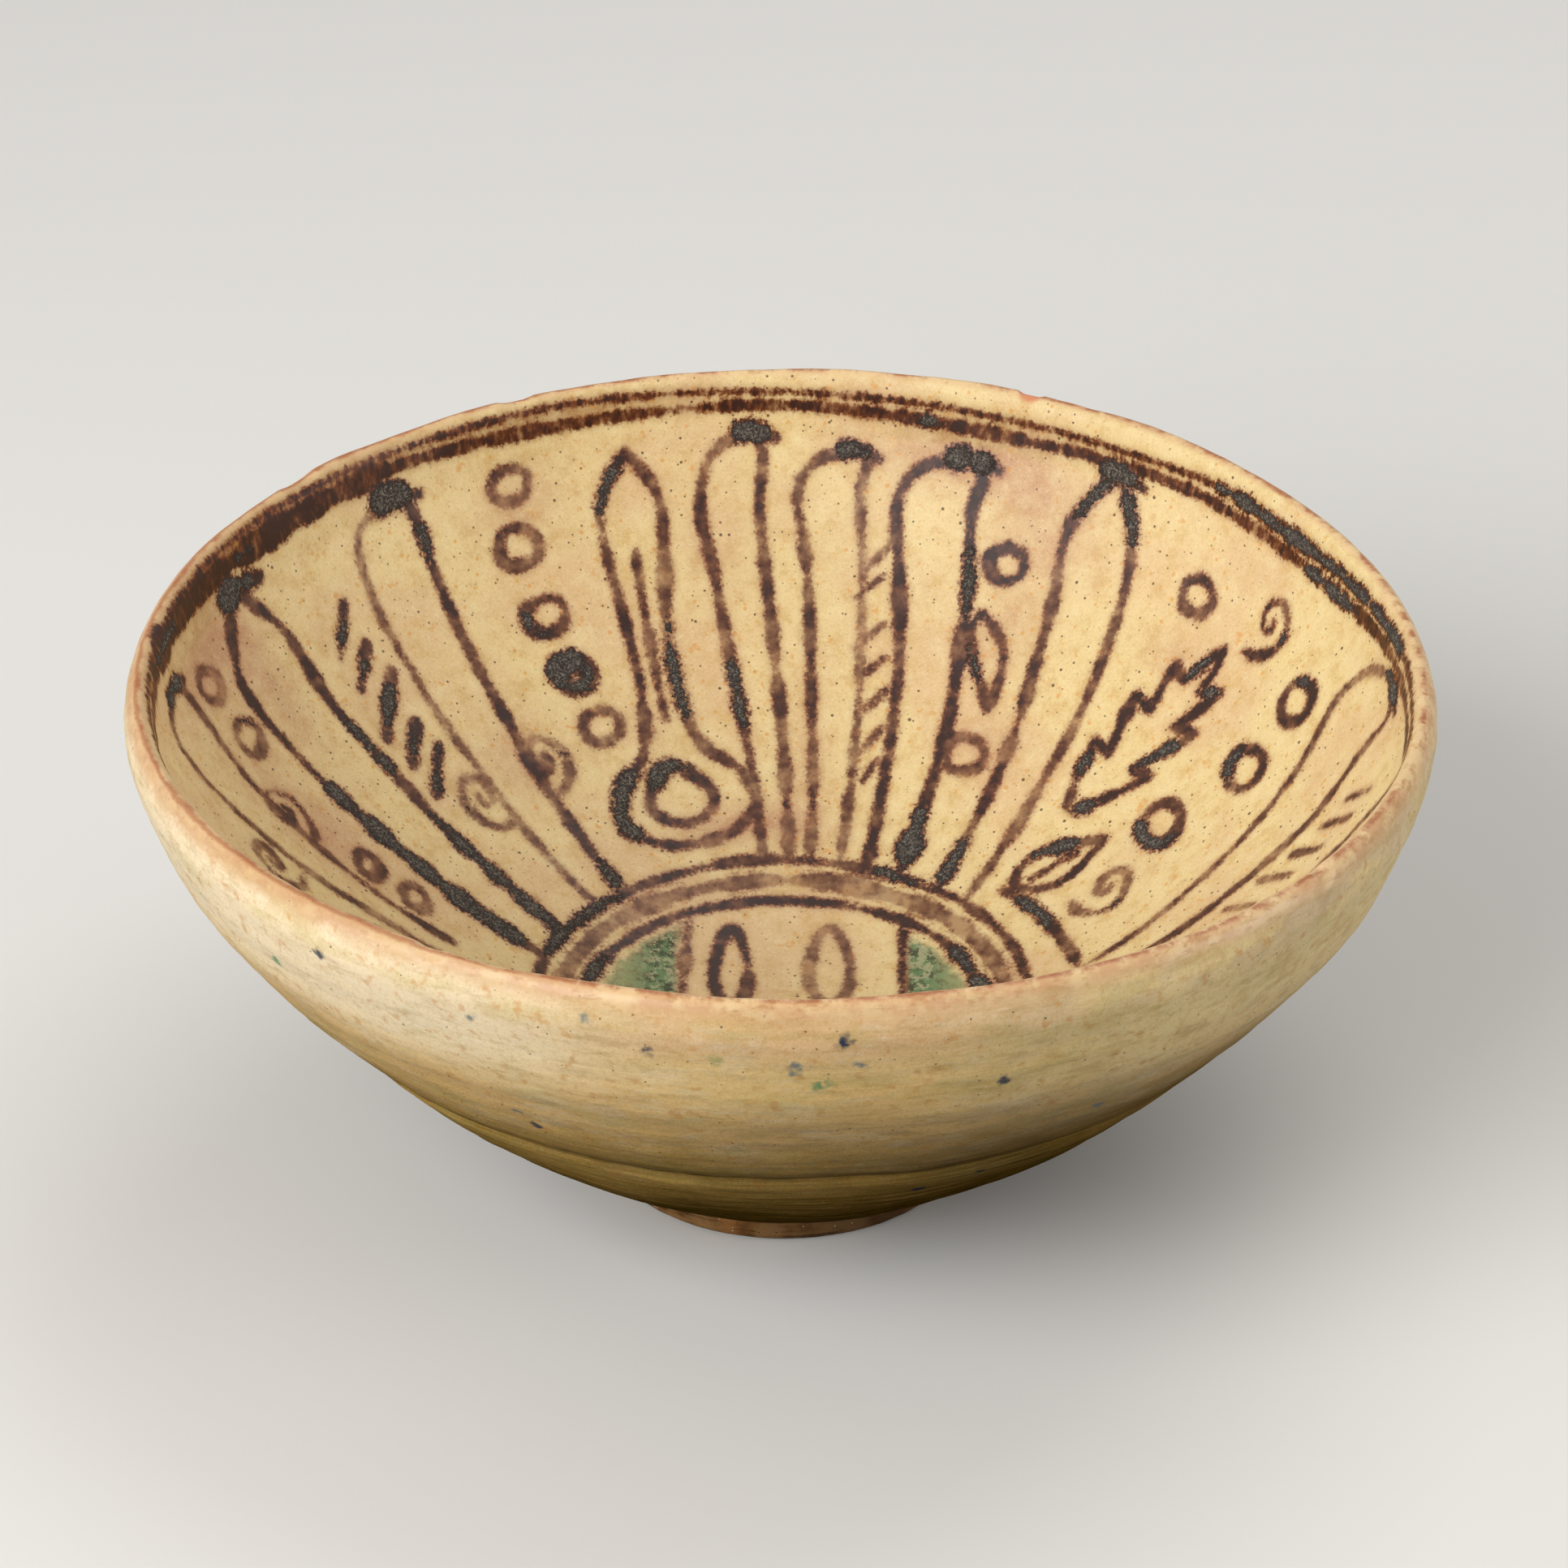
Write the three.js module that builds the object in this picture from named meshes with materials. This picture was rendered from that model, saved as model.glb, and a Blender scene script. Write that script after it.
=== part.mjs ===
// A deep footed bowl of glazed earthenware, wheel-thrown, about 200 mm across.
// A thrown clay body carries a separately luted foot ring. White slip and a
// yellowish lead glaze lie over the clay in coats of their own, one pair inside
// and one pair outside, which meet along the crest of the lip.
// Millimetres, +Z up. The origin is on the axis, at the plane the foot stands on.

import * as THREE from "three";

// Driving dimensions of the finished, glazed bowl.
const RIM_RADIUS = 100; // widest place, a little below the lip
const HEIGHT = 87.5; // standing plane to the crest of the lip
const FLOOR_HEIGHT = 20.6; // standing plane to the middle of the inside
const FOOT_HEIGHT = 6;
const FOOT_RADIUS = 29.4; // outer edge of the standing face
const FOOT_WIDTH = 6.2; // breadth of the foot ring where it stands
const LIP_THICKNESS = 5.0;
const LIP_RISE = 6.2; // height of the rounded crest above the straight wall
const SLIP_THICKNESS = 0.4;
const GLAZE_THICKNESS = 0.4;

// Fineness of the faceting.
const SEGMENTS = 48;
const INSIDE_STEPS = 10;
const LIP_STEPS = 6;
const OUTSIDE_STEPS = 10;

// Places worked out from the driving dimensions.
const LIP_BASE = HEIGHT - LIP_RISE;
const LIP_MIDDLE = RIM_RADIUS - LIP_THICKNESS / 2;
const BARE_EDGE_RADIUS = FOOT_RADIUS + 3.5; // where the outside glaze stops
const BARE_EDGE_HEIGHT = FOOT_HEIGHT + 1.2;
const FOOT_SEAT_RADIUS = FOOT_RADIUS + 1.4; // the ring is wider at its seat
const FOOT_BEVEL = 0.8;
const FOOT_HOLLOW_RADIUS = FOOT_RADIUS - FOOT_WIDTH;
const FOOT_HOLLOW_SEAT_RADIUS = FOOT_HOLLOW_RADIUS - 1.2;
const UNDERSIDE_SWELL = 0.9; // the turned underside sags towards its middle

// A profile point: distance from the axis, height above the standing plane.
const at = (radius, height) => new THREE.Vector2(radius, height);

// The inside surface, from the axis out to where the lip begins. Radii are
// shares of the lip's inner radius and heights are shares of the depth.
function insideProfile() {
  const radius = RIM_RADIUS - LIP_THICKNESS;
  const depth = LIP_BASE - FLOOR_HEIGHT;
  const shape = [
    [0, 0],
    [0.2, 0.015],
    [0.335, 0.066],
    [0.53, 0.228],
    [0.705, 0.423],
    [0.862, 0.655],
    [0.968, 0.885],
    [1, 1],
  ];
  const points = shape.map(([r, h]) => at(r * radius, FLOOR_HEIGHT + h * depth));
  const profile = new THREE.SplineCurve(points).getSpacedPoints(INSIDE_STEPS);
  profile[0].set(0, FLOOR_HEIGHT);
  return profile;
}

// The rounded lip: half an ellipse standing on the two faces of the wall.
function lipProfile() {
  const points = [];
  for (let step = 1; step < LIP_STEPS; step++) {
    const turn = Math.PI * (1 - step / LIP_STEPS);
    const radius = LIP_MIDDLE + (LIP_THICKNESS / 2) * Math.cos(turn);
    points.push(at(radius, LIP_BASE + LIP_RISE * Math.sin(turn)));
  }
  return points;
}

// The outside surface, from below the lip down to the edge of the glaze.
function outsideProfile() {
  const fall = LIP_BASE - BARE_EDGE_HEIGHT;
  const reach = RIM_RADIUS - BARE_EDGE_RADIUS;
  const shape = [
    [1, 1],
    [0.955, 0.875],
    [0.894, 0.76],
    [0.704, 0.545],
    [0.488, 0.325],
    [0.2, 0.108],
    [0, 0],
  ];
  const points = shape.map(([r, h]) =>
    at(BARE_EDGE_RADIUS + r * reach, BARE_EDGE_HEIGHT + h * fall),
  );
  return new THREE.SplineCurve(points).getSpacedPoints(OUTSIDE_STEPS);
}

// The same profile, pushed into the wall by a depth measured square to it.
// The first point stays on the axis.
function sunk(profile, depth) {
  return profile.map((point, i) => {
    const before = profile[Math.max(i - 1, 0)];
    const after = profile[Math.min(i + 1, profile.length - 1)];
    const along = after.clone().sub(before).normalize();
    const moved = at(point.x + along.y * depth, point.y - along.x * depth);
    if (i === 0) moved.set(0, point.y - depth);
    return moved;
  });
}

// A solid of revolution about +Z from a closed outline.
function turned(outline) {
  return new THREE.LatheGeometry(outline, SEGMENTS).rotateX(Math.PI / 2);
}

// A coat between two profiles of equal length.
function coat(top, bottom) {
  return turned([...bottom, ...top.toReversed(), bottom[0]]);
}

// A coat that reaches the axis, so that its outline stays open there.
function floorCoat(top, bottom) {
  return turned([...bottom, ...top.toReversed()]);
}

const glazeTop = [...insideProfile(), ...lipProfile(), ...outsideProfile()];
const slipTop = sunk(glazeTop, GLAZE_THICKNESS);
const clayTop = sunk(glazeTop, GLAZE_THICKNESS + SLIP_THICKNESS);
const crest = INSIDE_STEPS + LIP_STEPS / 2; // index of the lip's highest point

const inner = (profile) => profile.slice(0, crest + 1);
const outer = (profile) => profile.slice(crest);

// The thrown body: its clay under the coats, closed by the turned underside.
function bowlBody() {
  const seat = [
    at(FOOT_SEAT_RADIUS + 0.6, FOOT_HEIGHT),
    at(FOOT_HOLLOW_SEAT_RADIUS, FOOT_HEIGHT),
    at(FOOT_HOLLOW_SEAT_RADIUS * 0.6, FOOT_HEIGHT - UNDERSIDE_SWELL * 0.6),
    at(0, FOOT_HEIGHT - UNDERSIDE_SWELL),
  ];
  return turned([...clayTop, ...seat].toReversed());
}

// The foot ring: a low collar with eased edges, luted under the body.
function footRing() {
  const outline = [
    at(FOOT_HOLLOW_SEAT_RADIUS, FOOT_HEIGHT),
    at(FOOT_HOLLOW_RADIUS, FOOT_BEVEL),
    at(FOOT_HOLLOW_RADIUS + FOOT_BEVEL, 0),
    at(FOOT_RADIUS - FOOT_BEVEL, 0),
    at(FOOT_RADIUS, FOOT_BEVEL),
    at(FOOT_RADIUS + 0.4, FOOT_HEIGHT * 0.5),
    at(FOOT_SEAT_RADIUS, FOOT_HEIGHT),
    at(FOOT_HOLLOW_SEAT_RADIUS, FOOT_HEIGHT),
  ];
  return turned(outline);
}

const clay = new THREE.MeshStandardMaterial({ color: 0xb0805a, roughness: 0.9 });
const slip = new THREE.MeshStandardMaterial({ color: 0xe6d3ab, roughness: 0.8 });
const paleGlaze = new THREE.MeshStandardMaterial({ color: 0xe2c48a, roughness: 0.3 });
const oliveGlaze = new THREE.MeshStandardMaterial({ color: 0xc9a868, roughness: 0.35 });

const bowl = new THREE.Group();

function add(name, geometry, material) {
  const mesh = new THREE.Mesh(geometry, material);
  mesh.name = name;
  bowl.add(mesh);
}

add("bowl_body", bowlBody(), clay);
add("foot_ring", footRing(), clay);
add("inside_slip", floorCoat(inner(slipTop), inner(clayTop)), slip);
add("inside_glaze", floorCoat(inner(glazeTop), inner(slipTop)), paleGlaze);
add("outside_slip", coat(outer(slipTop), outer(clayTop)), slip);
add("outside_glaze", coat(outer(glazeTop), outer(slipTop)), oliveGlaze);

export default bowl;
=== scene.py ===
"""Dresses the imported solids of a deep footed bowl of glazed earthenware.

The bowl's finished surface is drawn once, from the middle of the inside over the lip to the lower
edge of the outside glaze at the foot. The inside and outside coats are cut from it, the clay body and
the foot ring are turned to fit under it, and the painting is laid on the inside as brush strokes.
Lengths are in millimetres until a mesh is made. Angles are written in degrees, with 0 to the right
and 90 at the far side.
"""
import logging
import math
from dataclasses import dataclass, field
from enum import Enum
from typing import Any, Iterable, Sequence

import bpy
import numpy as np
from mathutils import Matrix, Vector


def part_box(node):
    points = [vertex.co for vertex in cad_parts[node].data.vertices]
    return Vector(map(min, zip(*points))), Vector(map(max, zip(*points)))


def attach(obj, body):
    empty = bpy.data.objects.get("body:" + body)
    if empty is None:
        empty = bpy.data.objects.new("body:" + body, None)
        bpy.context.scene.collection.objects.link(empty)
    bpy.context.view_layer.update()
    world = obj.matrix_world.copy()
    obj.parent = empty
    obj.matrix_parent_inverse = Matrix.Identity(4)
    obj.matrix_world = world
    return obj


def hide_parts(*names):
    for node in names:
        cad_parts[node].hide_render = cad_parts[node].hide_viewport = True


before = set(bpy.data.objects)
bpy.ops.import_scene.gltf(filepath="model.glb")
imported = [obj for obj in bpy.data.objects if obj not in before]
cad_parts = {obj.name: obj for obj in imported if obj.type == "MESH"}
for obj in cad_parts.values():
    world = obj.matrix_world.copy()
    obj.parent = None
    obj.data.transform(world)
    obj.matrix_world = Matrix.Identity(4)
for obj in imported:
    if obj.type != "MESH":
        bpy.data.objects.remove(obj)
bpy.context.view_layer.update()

MM = 0.001
TO_MM = (1 / MM,) * 3
ON_AXIS = 1e-6  # a ring of a smaller radius is a single point
BODY = "root"
log = logging.getLogger("bowl")

Place = tuple[float, float]
Colour = tuple[float, float, float]
Wave = tuple[float, int, float]  # its size in mm, its number round the bowl and its phase
Texture = tuple[float, int, float]  # its depth in mm, its seed and the breadth of its patches in mm
Crust = tuple[float, float, float]  # where it starts and ends as shares of a stroke, and its breadth

GREEN_FROM: Place = (-16.6, 18.9)  # where the green starts to the left and right of the well's middle
GREEN_RADIUS = 30.2


def srgb(red: int, green: int, blue: int) -> Colour:
    """Turns a colour as seen on a screen into the linear light that a shader takes.

    Args:
        red, green, blue: 0 to 255.

    Returns:
        The linear colour.
    """
    def linear(level: int) -> float:
        """One channel."""
        share = level / 255
        return share / 12.92 if share <= 0.04045 else ((share + 0.055) / 1.055) ** 2.4

    return linear(red), linear(green), linear(blue)


def smooth_step(low: float, high: float, value: np.ndarray) -> np.ndarray:
    """Rises from 0 at low to 1 at high with soft ends."""
    share = np.clip((value - low) / (high - low), 0, 1)
    return share * share * (3 - 2 * share)


def between(start: Place, end: Place, share: float) -> Place:
    """Gives the place that lies a share of the way from start to end."""
    return start[0] + (end[0] - start[0]) * share, start[1] + (end[1] - start[1]) * share


def turn_from(angle: np.ndarray, start: float) -> np.ndarray:
    """Gives how far angles in radians lie from a start in degrees, the shorter way round."""
    return np.angle(np.exp(1j * (angle - math.radians(start))))


def spline(points: Sequence[Sequence[float]], steps: int, closed: bool = False,
           lap: Place = (0, 0)) -> np.ndarray:
    """Draws a smooth curve through points.

    Args:
        points: what the curve passes through, in order.
        steps: how many stretches the drawn curve has between two points.
        closed: whether the curve runs back to its first point.
        lap: what a closed curve's points grow by each time round.

    Returns:
        The drawn points, one per row.
    """
    knots = np.asarray(points, float)
    count = len(knots)
    spans = count if closed else count - 1
    share = np.arange(steps) / steps
    rows = []
    for i in range(spans):
        if closed:
            a, b, c, d = (knots[(i + k) % count] + (i + k) // count * np.asarray(lap) for k in (-1, 0, 1, 2))
        else:
            a, b, c, d = (knots[min(max(i + k, 0), count - 1)] for k in (-1, 0, 1, 2))
        leave, arrive = (c - a) / 2, (d - b) / 2
        t = share[:, None]
        rows.append((2 * b - 2 * c + leave + arrive) * t**3
                    + (-3 * b + 3 * c - 2 * leave - arrive) * t**2 + leave * t + b)
    rows.append(knots[:1] + np.asarray(lap) if closed else knots[-1:])
    return np.concatenate(rows)


def lengths_along(points: np.ndarray) -> np.ndarray:
    """Gives each point's distance from the first, measured along the line."""
    steps = np.linalg.norm(np.diff(points, axis=0), axis=1)
    return np.concatenate([[0.0], np.cumsum(steps)])


class Turn(Enum):
    """A way round the bowl, seen from above."""
    ANTICLOCKWISE = 1
    CLOCKWISE = -1


class Ripple:
    """A smooth, irregular field, the sum of a few waves in random directions."""

    def __init__(self, seed: int, wavelength: float, waves: int = 14) -> None:
        """Draws the waves.

        Args:
            seed: fixes the random draws.
            wavelength: the mean distance between two crests, in mm.
            waves: how many waves are summed.
        """
        draw = np.random.default_rng(seed)
        directions = draw.normal(size=(waves, 3))
        directions /= np.linalg.norm(directions, axis=1)[:, None]
        pitch = wavelength * draw.uniform(0.65, 1.5, waves)
        self.turns = directions * (2 * math.pi / pitch)[:, None]
        self.starts = draw.uniform(0, 2 * math.pi, waves)

    def __call__(self, points: np.ndarray) -> np.ndarray:
        """Gives about -1 to 1 at each point, with a mean of 0."""
        waves = np.sin(points @ self.turns.T + self.starts)
        return waves.sum(axis=1) * math.sqrt(0.9 / len(self.starts))


def textured(points: np.ndarray, textures: Sequence[Texture]) -> np.ndarray:
    """Adds up irregular fields of the given depths at each point."""
    return sum(depth * Ripple(seed, breadth)(points) for depth, seed, breadth in textures)


@dataclass(frozen=True)
class Chip:
    """A flake that has come off the lip."""
    angle: float
    length: float
    depth: float
    lean: float  # how far outside the crest its middle lies


@dataclass
class BowlForm:
    """The bowl's finished surface, and how the potter's hands left it uneven.

    A place on it is an angle and a reach. The reach is the distance from the middle of the inside,
    measured along the surface, out over the lip and down to the edge of the outside glaze.
    """
    rim_radius: float
    height: float
    floor_height: float
    foot_radius: float
    foot_height: float
    lip_thickness: float = 5.0
    lip_rise: float = 6.2
    toe_width: float = 3.5  # how far outside the foot's edge the wall ends
    toe_rise: float = 1.2  # how far above the foot's top it ends
    run_shape: tuple[Place, ...] = ((2.6, 0.4), (1.75, -0.6), (1.35, -1.9))  # the glaze's run on to the foot
    inside_shape: tuple[Place, ...] = (
        (0, 0), (0.2, 0.015), (0.335, 0.066), (0.53, 0.228),
        (0.705, 0.423), (0.862, 0.655), (0.968, 0.885), (1, 1),
    )
    outside_shape: tuple[Place, ...] = (
        (1, 1), (0.955, 0.875), (0.894, 0.76), (0.704, 0.545), (0.488, 0.325), (0.2, 0.108), (0, 0),
    )
    chips: tuple[Chip, ...] = (
        Chip(65.3, 4.6, 0.8, 0.6), Chip(117.0, 7.0, 0.45, 0.4), Chip(143.0, 9.0, 0.5, 0.2),
        Chip(-38.0, 4.0, 0.5, 0.8), Chip(-121.0, 6.0, 0.5, 0.2), Chip(201.0, 5.0, 0.4, 1.0),
    )
    chip_breadth: float = 4.8
    bare_depth: float = 0.7  # a deeper flake shows bare clay
    groove_height: float = 44.0
    groove_depth: float = 0.24
    groove_waver: float = 0.35
    step_rise: float = 0.45  # how far the wall above the groove stands out
    swell_rise: float = 0.2  # how far the wall stands out just below the groove
    ring_pitch: float = 7.4  # between two throwing rings
    tool_pitch: float = 2.9  # between two marks of the turning tool
    inside_ring: float = 0.025  # height of the throwing rings inside
    outside_ring: float = 0.05  # and outside
    tool_mark: float = 0.025
    dents: tuple[Texture, ...] = ((0.14, 3, 26), (0.05, 4, 7))
    out_waves: tuple[Wave, ...] = ((0.39, 1, 1.94), (0.26, 2, -0.24), (0.32, 3, -2.73))
    up_waves: tuple[Wave, ...] = ((0.55, 1, -2.98), (0.6, 2, 2.81), (0.12, 5, 0.0))
    wall_steps: int = 60  # drawn stretches between two points of a shape
    lip_steps: int = 80
    run_steps: int = 20
    profile: np.ndarray = field(init=False)
    reaches: np.ndarray = field(init=False)
    lip_start: float = field(init=False)
    crest: float = field(init=False)
    lip_end: float = field(init=False)
    wall_end: float = field(init=False)

    def __post_init__(self) -> None:
        """Draws the profile, and notes where the lip starts, peaks and ends and where the wall ends."""
        lip_base = self.height - self.lip_rise
        depth = lip_base - self.floor_height
        inner_radius = self.rim_radius - self.lip_thickness
        inside = spline([(r * inner_radius, self.floor_height + h * depth)
                         for r, h in self.inside_shape], self.wall_steps)
        turn = np.linspace(math.pi, 0, self.lip_steps + 1)[1:-1]
        middle = self.rim_radius - self.lip_thickness / 2
        lip = np.stack([middle + self.lip_thickness / 2 * np.cos(turn),
                        lip_base + self.lip_rise * np.sin(turn)], axis=1)
        toe_radius = self.foot_radius + self.toe_width
        toe_height = self.foot_height + self.toe_rise
        outside = spline([(toe_radius + r * (self.rim_radius - toe_radius),
                           toe_height + h * (lip_base - toe_height))
                          for r, h in self.outside_shape], self.wall_steps)
        run = spline([outside[-1], *((self.foot_radius + r, self.foot_height + h)
                                     for r, h in self.run_shape)], self.run_steps)
        profile = np.concatenate([inside, lip, outside, run[1:]])
        lengths = lengths_along(profile)
        self.lip_start = float(lengths[len(inside) - 1])
        self.lip_end = float(lengths[len(inside) + len(lip)])
        self.wall_end = float(lengths[len(inside) + len(lip) + len(outside) - 1])
        self.profile = self.eased(profile, lengths)
        self.reaches = lengths_along(self.profile)
        self.crest = float(self.reaches[np.argmax(self.profile[:, 1])])

    def eased(self, profile: np.ndarray, lengths: np.ndarray, spread: float = 1.8, zone: float = 3.6,
              step: float = 0.2) -> np.ndarray:
        """Rounds the profile off where the lip meets the two faces of the wall, and above the foot.

        Args:
            profile, lengths: its places, and how far along it each lies.
            spread: how widely neighbouring places are averaged, in mm.
            zone: how far from the two corners the rounding reaches, in mm.
            step: between two places of the result, in mm.

        Returns:
            The rounded profile, in even steps.
        """
        stops = np.linspace(0, lengths[-1], round(lengths[-1] / step))
        even = np.stack([np.interp(stops, lengths, profile[:, axis]) for axis in (0, 1)], axis=1)
        half = round(3 * spread / step)
        weights = np.exp(-(np.arange(-half, half + 1) * step / spread) ** 2 / 2)
        weights /= weights.sum()
        padded = np.pad(even, ((half, half), (0, 0)), mode="edge")
        soft = np.stack([np.convolve(padded[:, axis], weights, mode="valid") for axis in (0, 1)], axis=1)
        near = sum(np.exp(-((stops - corner) / zone) ** 4) for corner in (self.lip_start, self.lip_end))
        near = near + np.exp(-((stops - self.wall_end) / (zone / 2)) ** 4)
        return even + (soft - even) * near[:, None]

    @classmethod
    def from_frame(cls) -> "BowlForm":
        """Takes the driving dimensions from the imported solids."""
        low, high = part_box("outside_glaze")
        floor_low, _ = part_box("inside_glaze")
        _, foot_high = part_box("foot_ring")
        glaze_thickness = 0.4
        foot_flare = 1.4
        return cls(
            rim_radius=high.x / MM,
            height=high.z / MM,
            floor_height=floor_low.z / MM + glaze_thickness,
            foot_radius=foot_high.x / MM - foot_flare,
            foot_height=foot_high.z / MM,
        )

    @property
    def end(self) -> float:
        """The reach at the lower edge of the outside glaze."""
        return float(self.reaches[-1])

    def radius_at(self, reach: float) -> float:
        """The profile's radius at one reach."""
        return float(self.section(np.array(reach))[0])

    def section(self, reach: np.ndarray) -> tuple[np.ndarray, np.ndarray, np.ndarray]:
        """Reads the profile.

        Args:
            reach: places along the profile, in mm.

        Returns:
            Radius, height, and the direction square to the surface as rows of (radius, height).
        """
        radius = np.interp(reach, self.reaches, self.profile[:, 0])
        height = np.interp(reach, self.reaches, self.profile[:, 1])
        half_step = 0.25
        ahead = np.clip(reach + half_step, 0, self.end)
        behind = np.clip(reach - half_step, 0, self.end)
        along_r, along_z = (np.interp(ahead, self.reaches, self.profile[:, axis])
                            - np.interp(behind, self.reaches, self.profile[:, axis]) for axis in (0, 1))
        size = np.hypot(along_r, along_z)
        return radius, height, np.stack([-along_z / size, along_r / size], axis=-1)

    def sway(self, radius: np.ndarray, angle: np.ndarray) -> tuple[np.ndarray, np.ndarray]:
        """How far the wall leans out and up where the thrown bowl isn't quite round.

        Args:
            radius: distance from the axis, in mm.
            angle: in radians.

        Returns:
            The outward and the upward shift, in mm.
        """
        share = (radius / self.rim_radius) ** 2
        out, up = (sum(size * np.cos(count * angle - phase) for size, count, phase in waves)
                   for waves in (self.out_waves, self.up_waves))
        return share * out, share * up

    def point(self, reach: np.ndarray, angle: np.ndarray, lift: np.ndarray | float = 0.0) -> np.ndarray:
        """Gives places on the surface as points in space.

        Args:
            reach: in mm.
            angle: in radians.
            lift: distance out of the surface, in mm.

        Returns:
            One point per row, in mm.
        """
        radius, height, square = self.section(reach)
        out, up = self.sway(radius, angle)
        distance = radius + out + square[..., 0] * lift
        return np.stack([distance * np.cos(angle), distance * np.sin(angle),
                         height + up + square[..., 1] * lift], axis=-1)

    def relief(self, reach: np.ndarray, angle: np.ndarray) -> np.ndarray:
        """The throwing rings, tool marks, dents and chips, as a lift out of the surface.

        Args:
            reach: in mm.
            angle: in radians.

        Returns:
            The lift, in mm.
        """
        points = self.point(reach, angle)
        outside = smooth_step(self.lip_end - 1, self.lip_end + 6, reach)
        inside = 1 - smooth_step(self.lip_start - 6, self.lip_start + 1, reach)
        rings = np.sin(2 * math.pi * reach / self.ring_pitch + angle + 0.8 * Ripple(5, 60)(points))
        marks = np.sin(2 * math.pi * reach / self.tool_pitch - angle + 1.2 * Ripple(6, 45)(points))
        lift = textured(points, self.dents) + inside * self.inside_ring * rings
        lift = lift + outside * (self.outside_ring * rings + self.tool_mark * marks)
        away = points[..., 2] - self.groove_height - self.groove_waver * np.sin(angle + 0.4)
        shoulder = smooth_step(-0.8, 1.8, away) * (1 - smooth_step(4, 24, away))
        lift = lift + outside * (self.step_rise * shoulder - self.groove_depth * np.exp(-(away / 2.0) ** 2))
        lift = lift + outside * self.swell_rise * np.exp(-((away + 4.2) / 2.2) ** 2)
        return lift - self.chipping(reach, angle)[0]

    def chipping(self, reach: np.ndarray, angle: np.ndarray) -> tuple[np.ndarray, np.ndarray]:
        """The flakes off the lip.

        Args:
            reach: in mm.
            angle: in radians.

        Returns:
            How deep each place lies in a flake, and how bare of glaze it is, from 0 to 1.
        """
        depth = np.zeros_like(reach)
        bare = np.zeros_like(reach)
        for chip in self.chips:
            along = turn_from(angle, chip.angle) * self.rim_radius / (chip.length / 2)
            across = (reach - self.crest - chip.lean) / (self.chip_breadth / 2)
            inside = 1 - np.hypot(along, across)
            depth = np.maximum(depth, chip.depth * smooth_step(-0.1, 0.6, inside))
            bare = np.maximum(bare, smooth_step(-0.15, 0.25, inside) * (chip.depth > self.bare_depth))
        return depth, bare


@dataclass(frozen=True)
class Pool:
    """A stretch of a stroke where pigment pooled and fired to a crust."""
    start: float
    end: float
    width: float


@dataclass(frozen=True)
class Stroke:
    """One brush stroke, through places of (angle in degrees, reach in mm)."""
    places: tuple[Place, ...]
    width: float
    load: float
    pools: tuple[Pool, ...]
    closed: bool


@dataclass(frozen=True)
class Cloud:
    """A place where pigment hazed the glaze."""
    angle: float
    reach: float
    breadth: float  # half its extent round the bowl, in mm
    rise: float  # half its extent up the wall, in mm
    share: float


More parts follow.
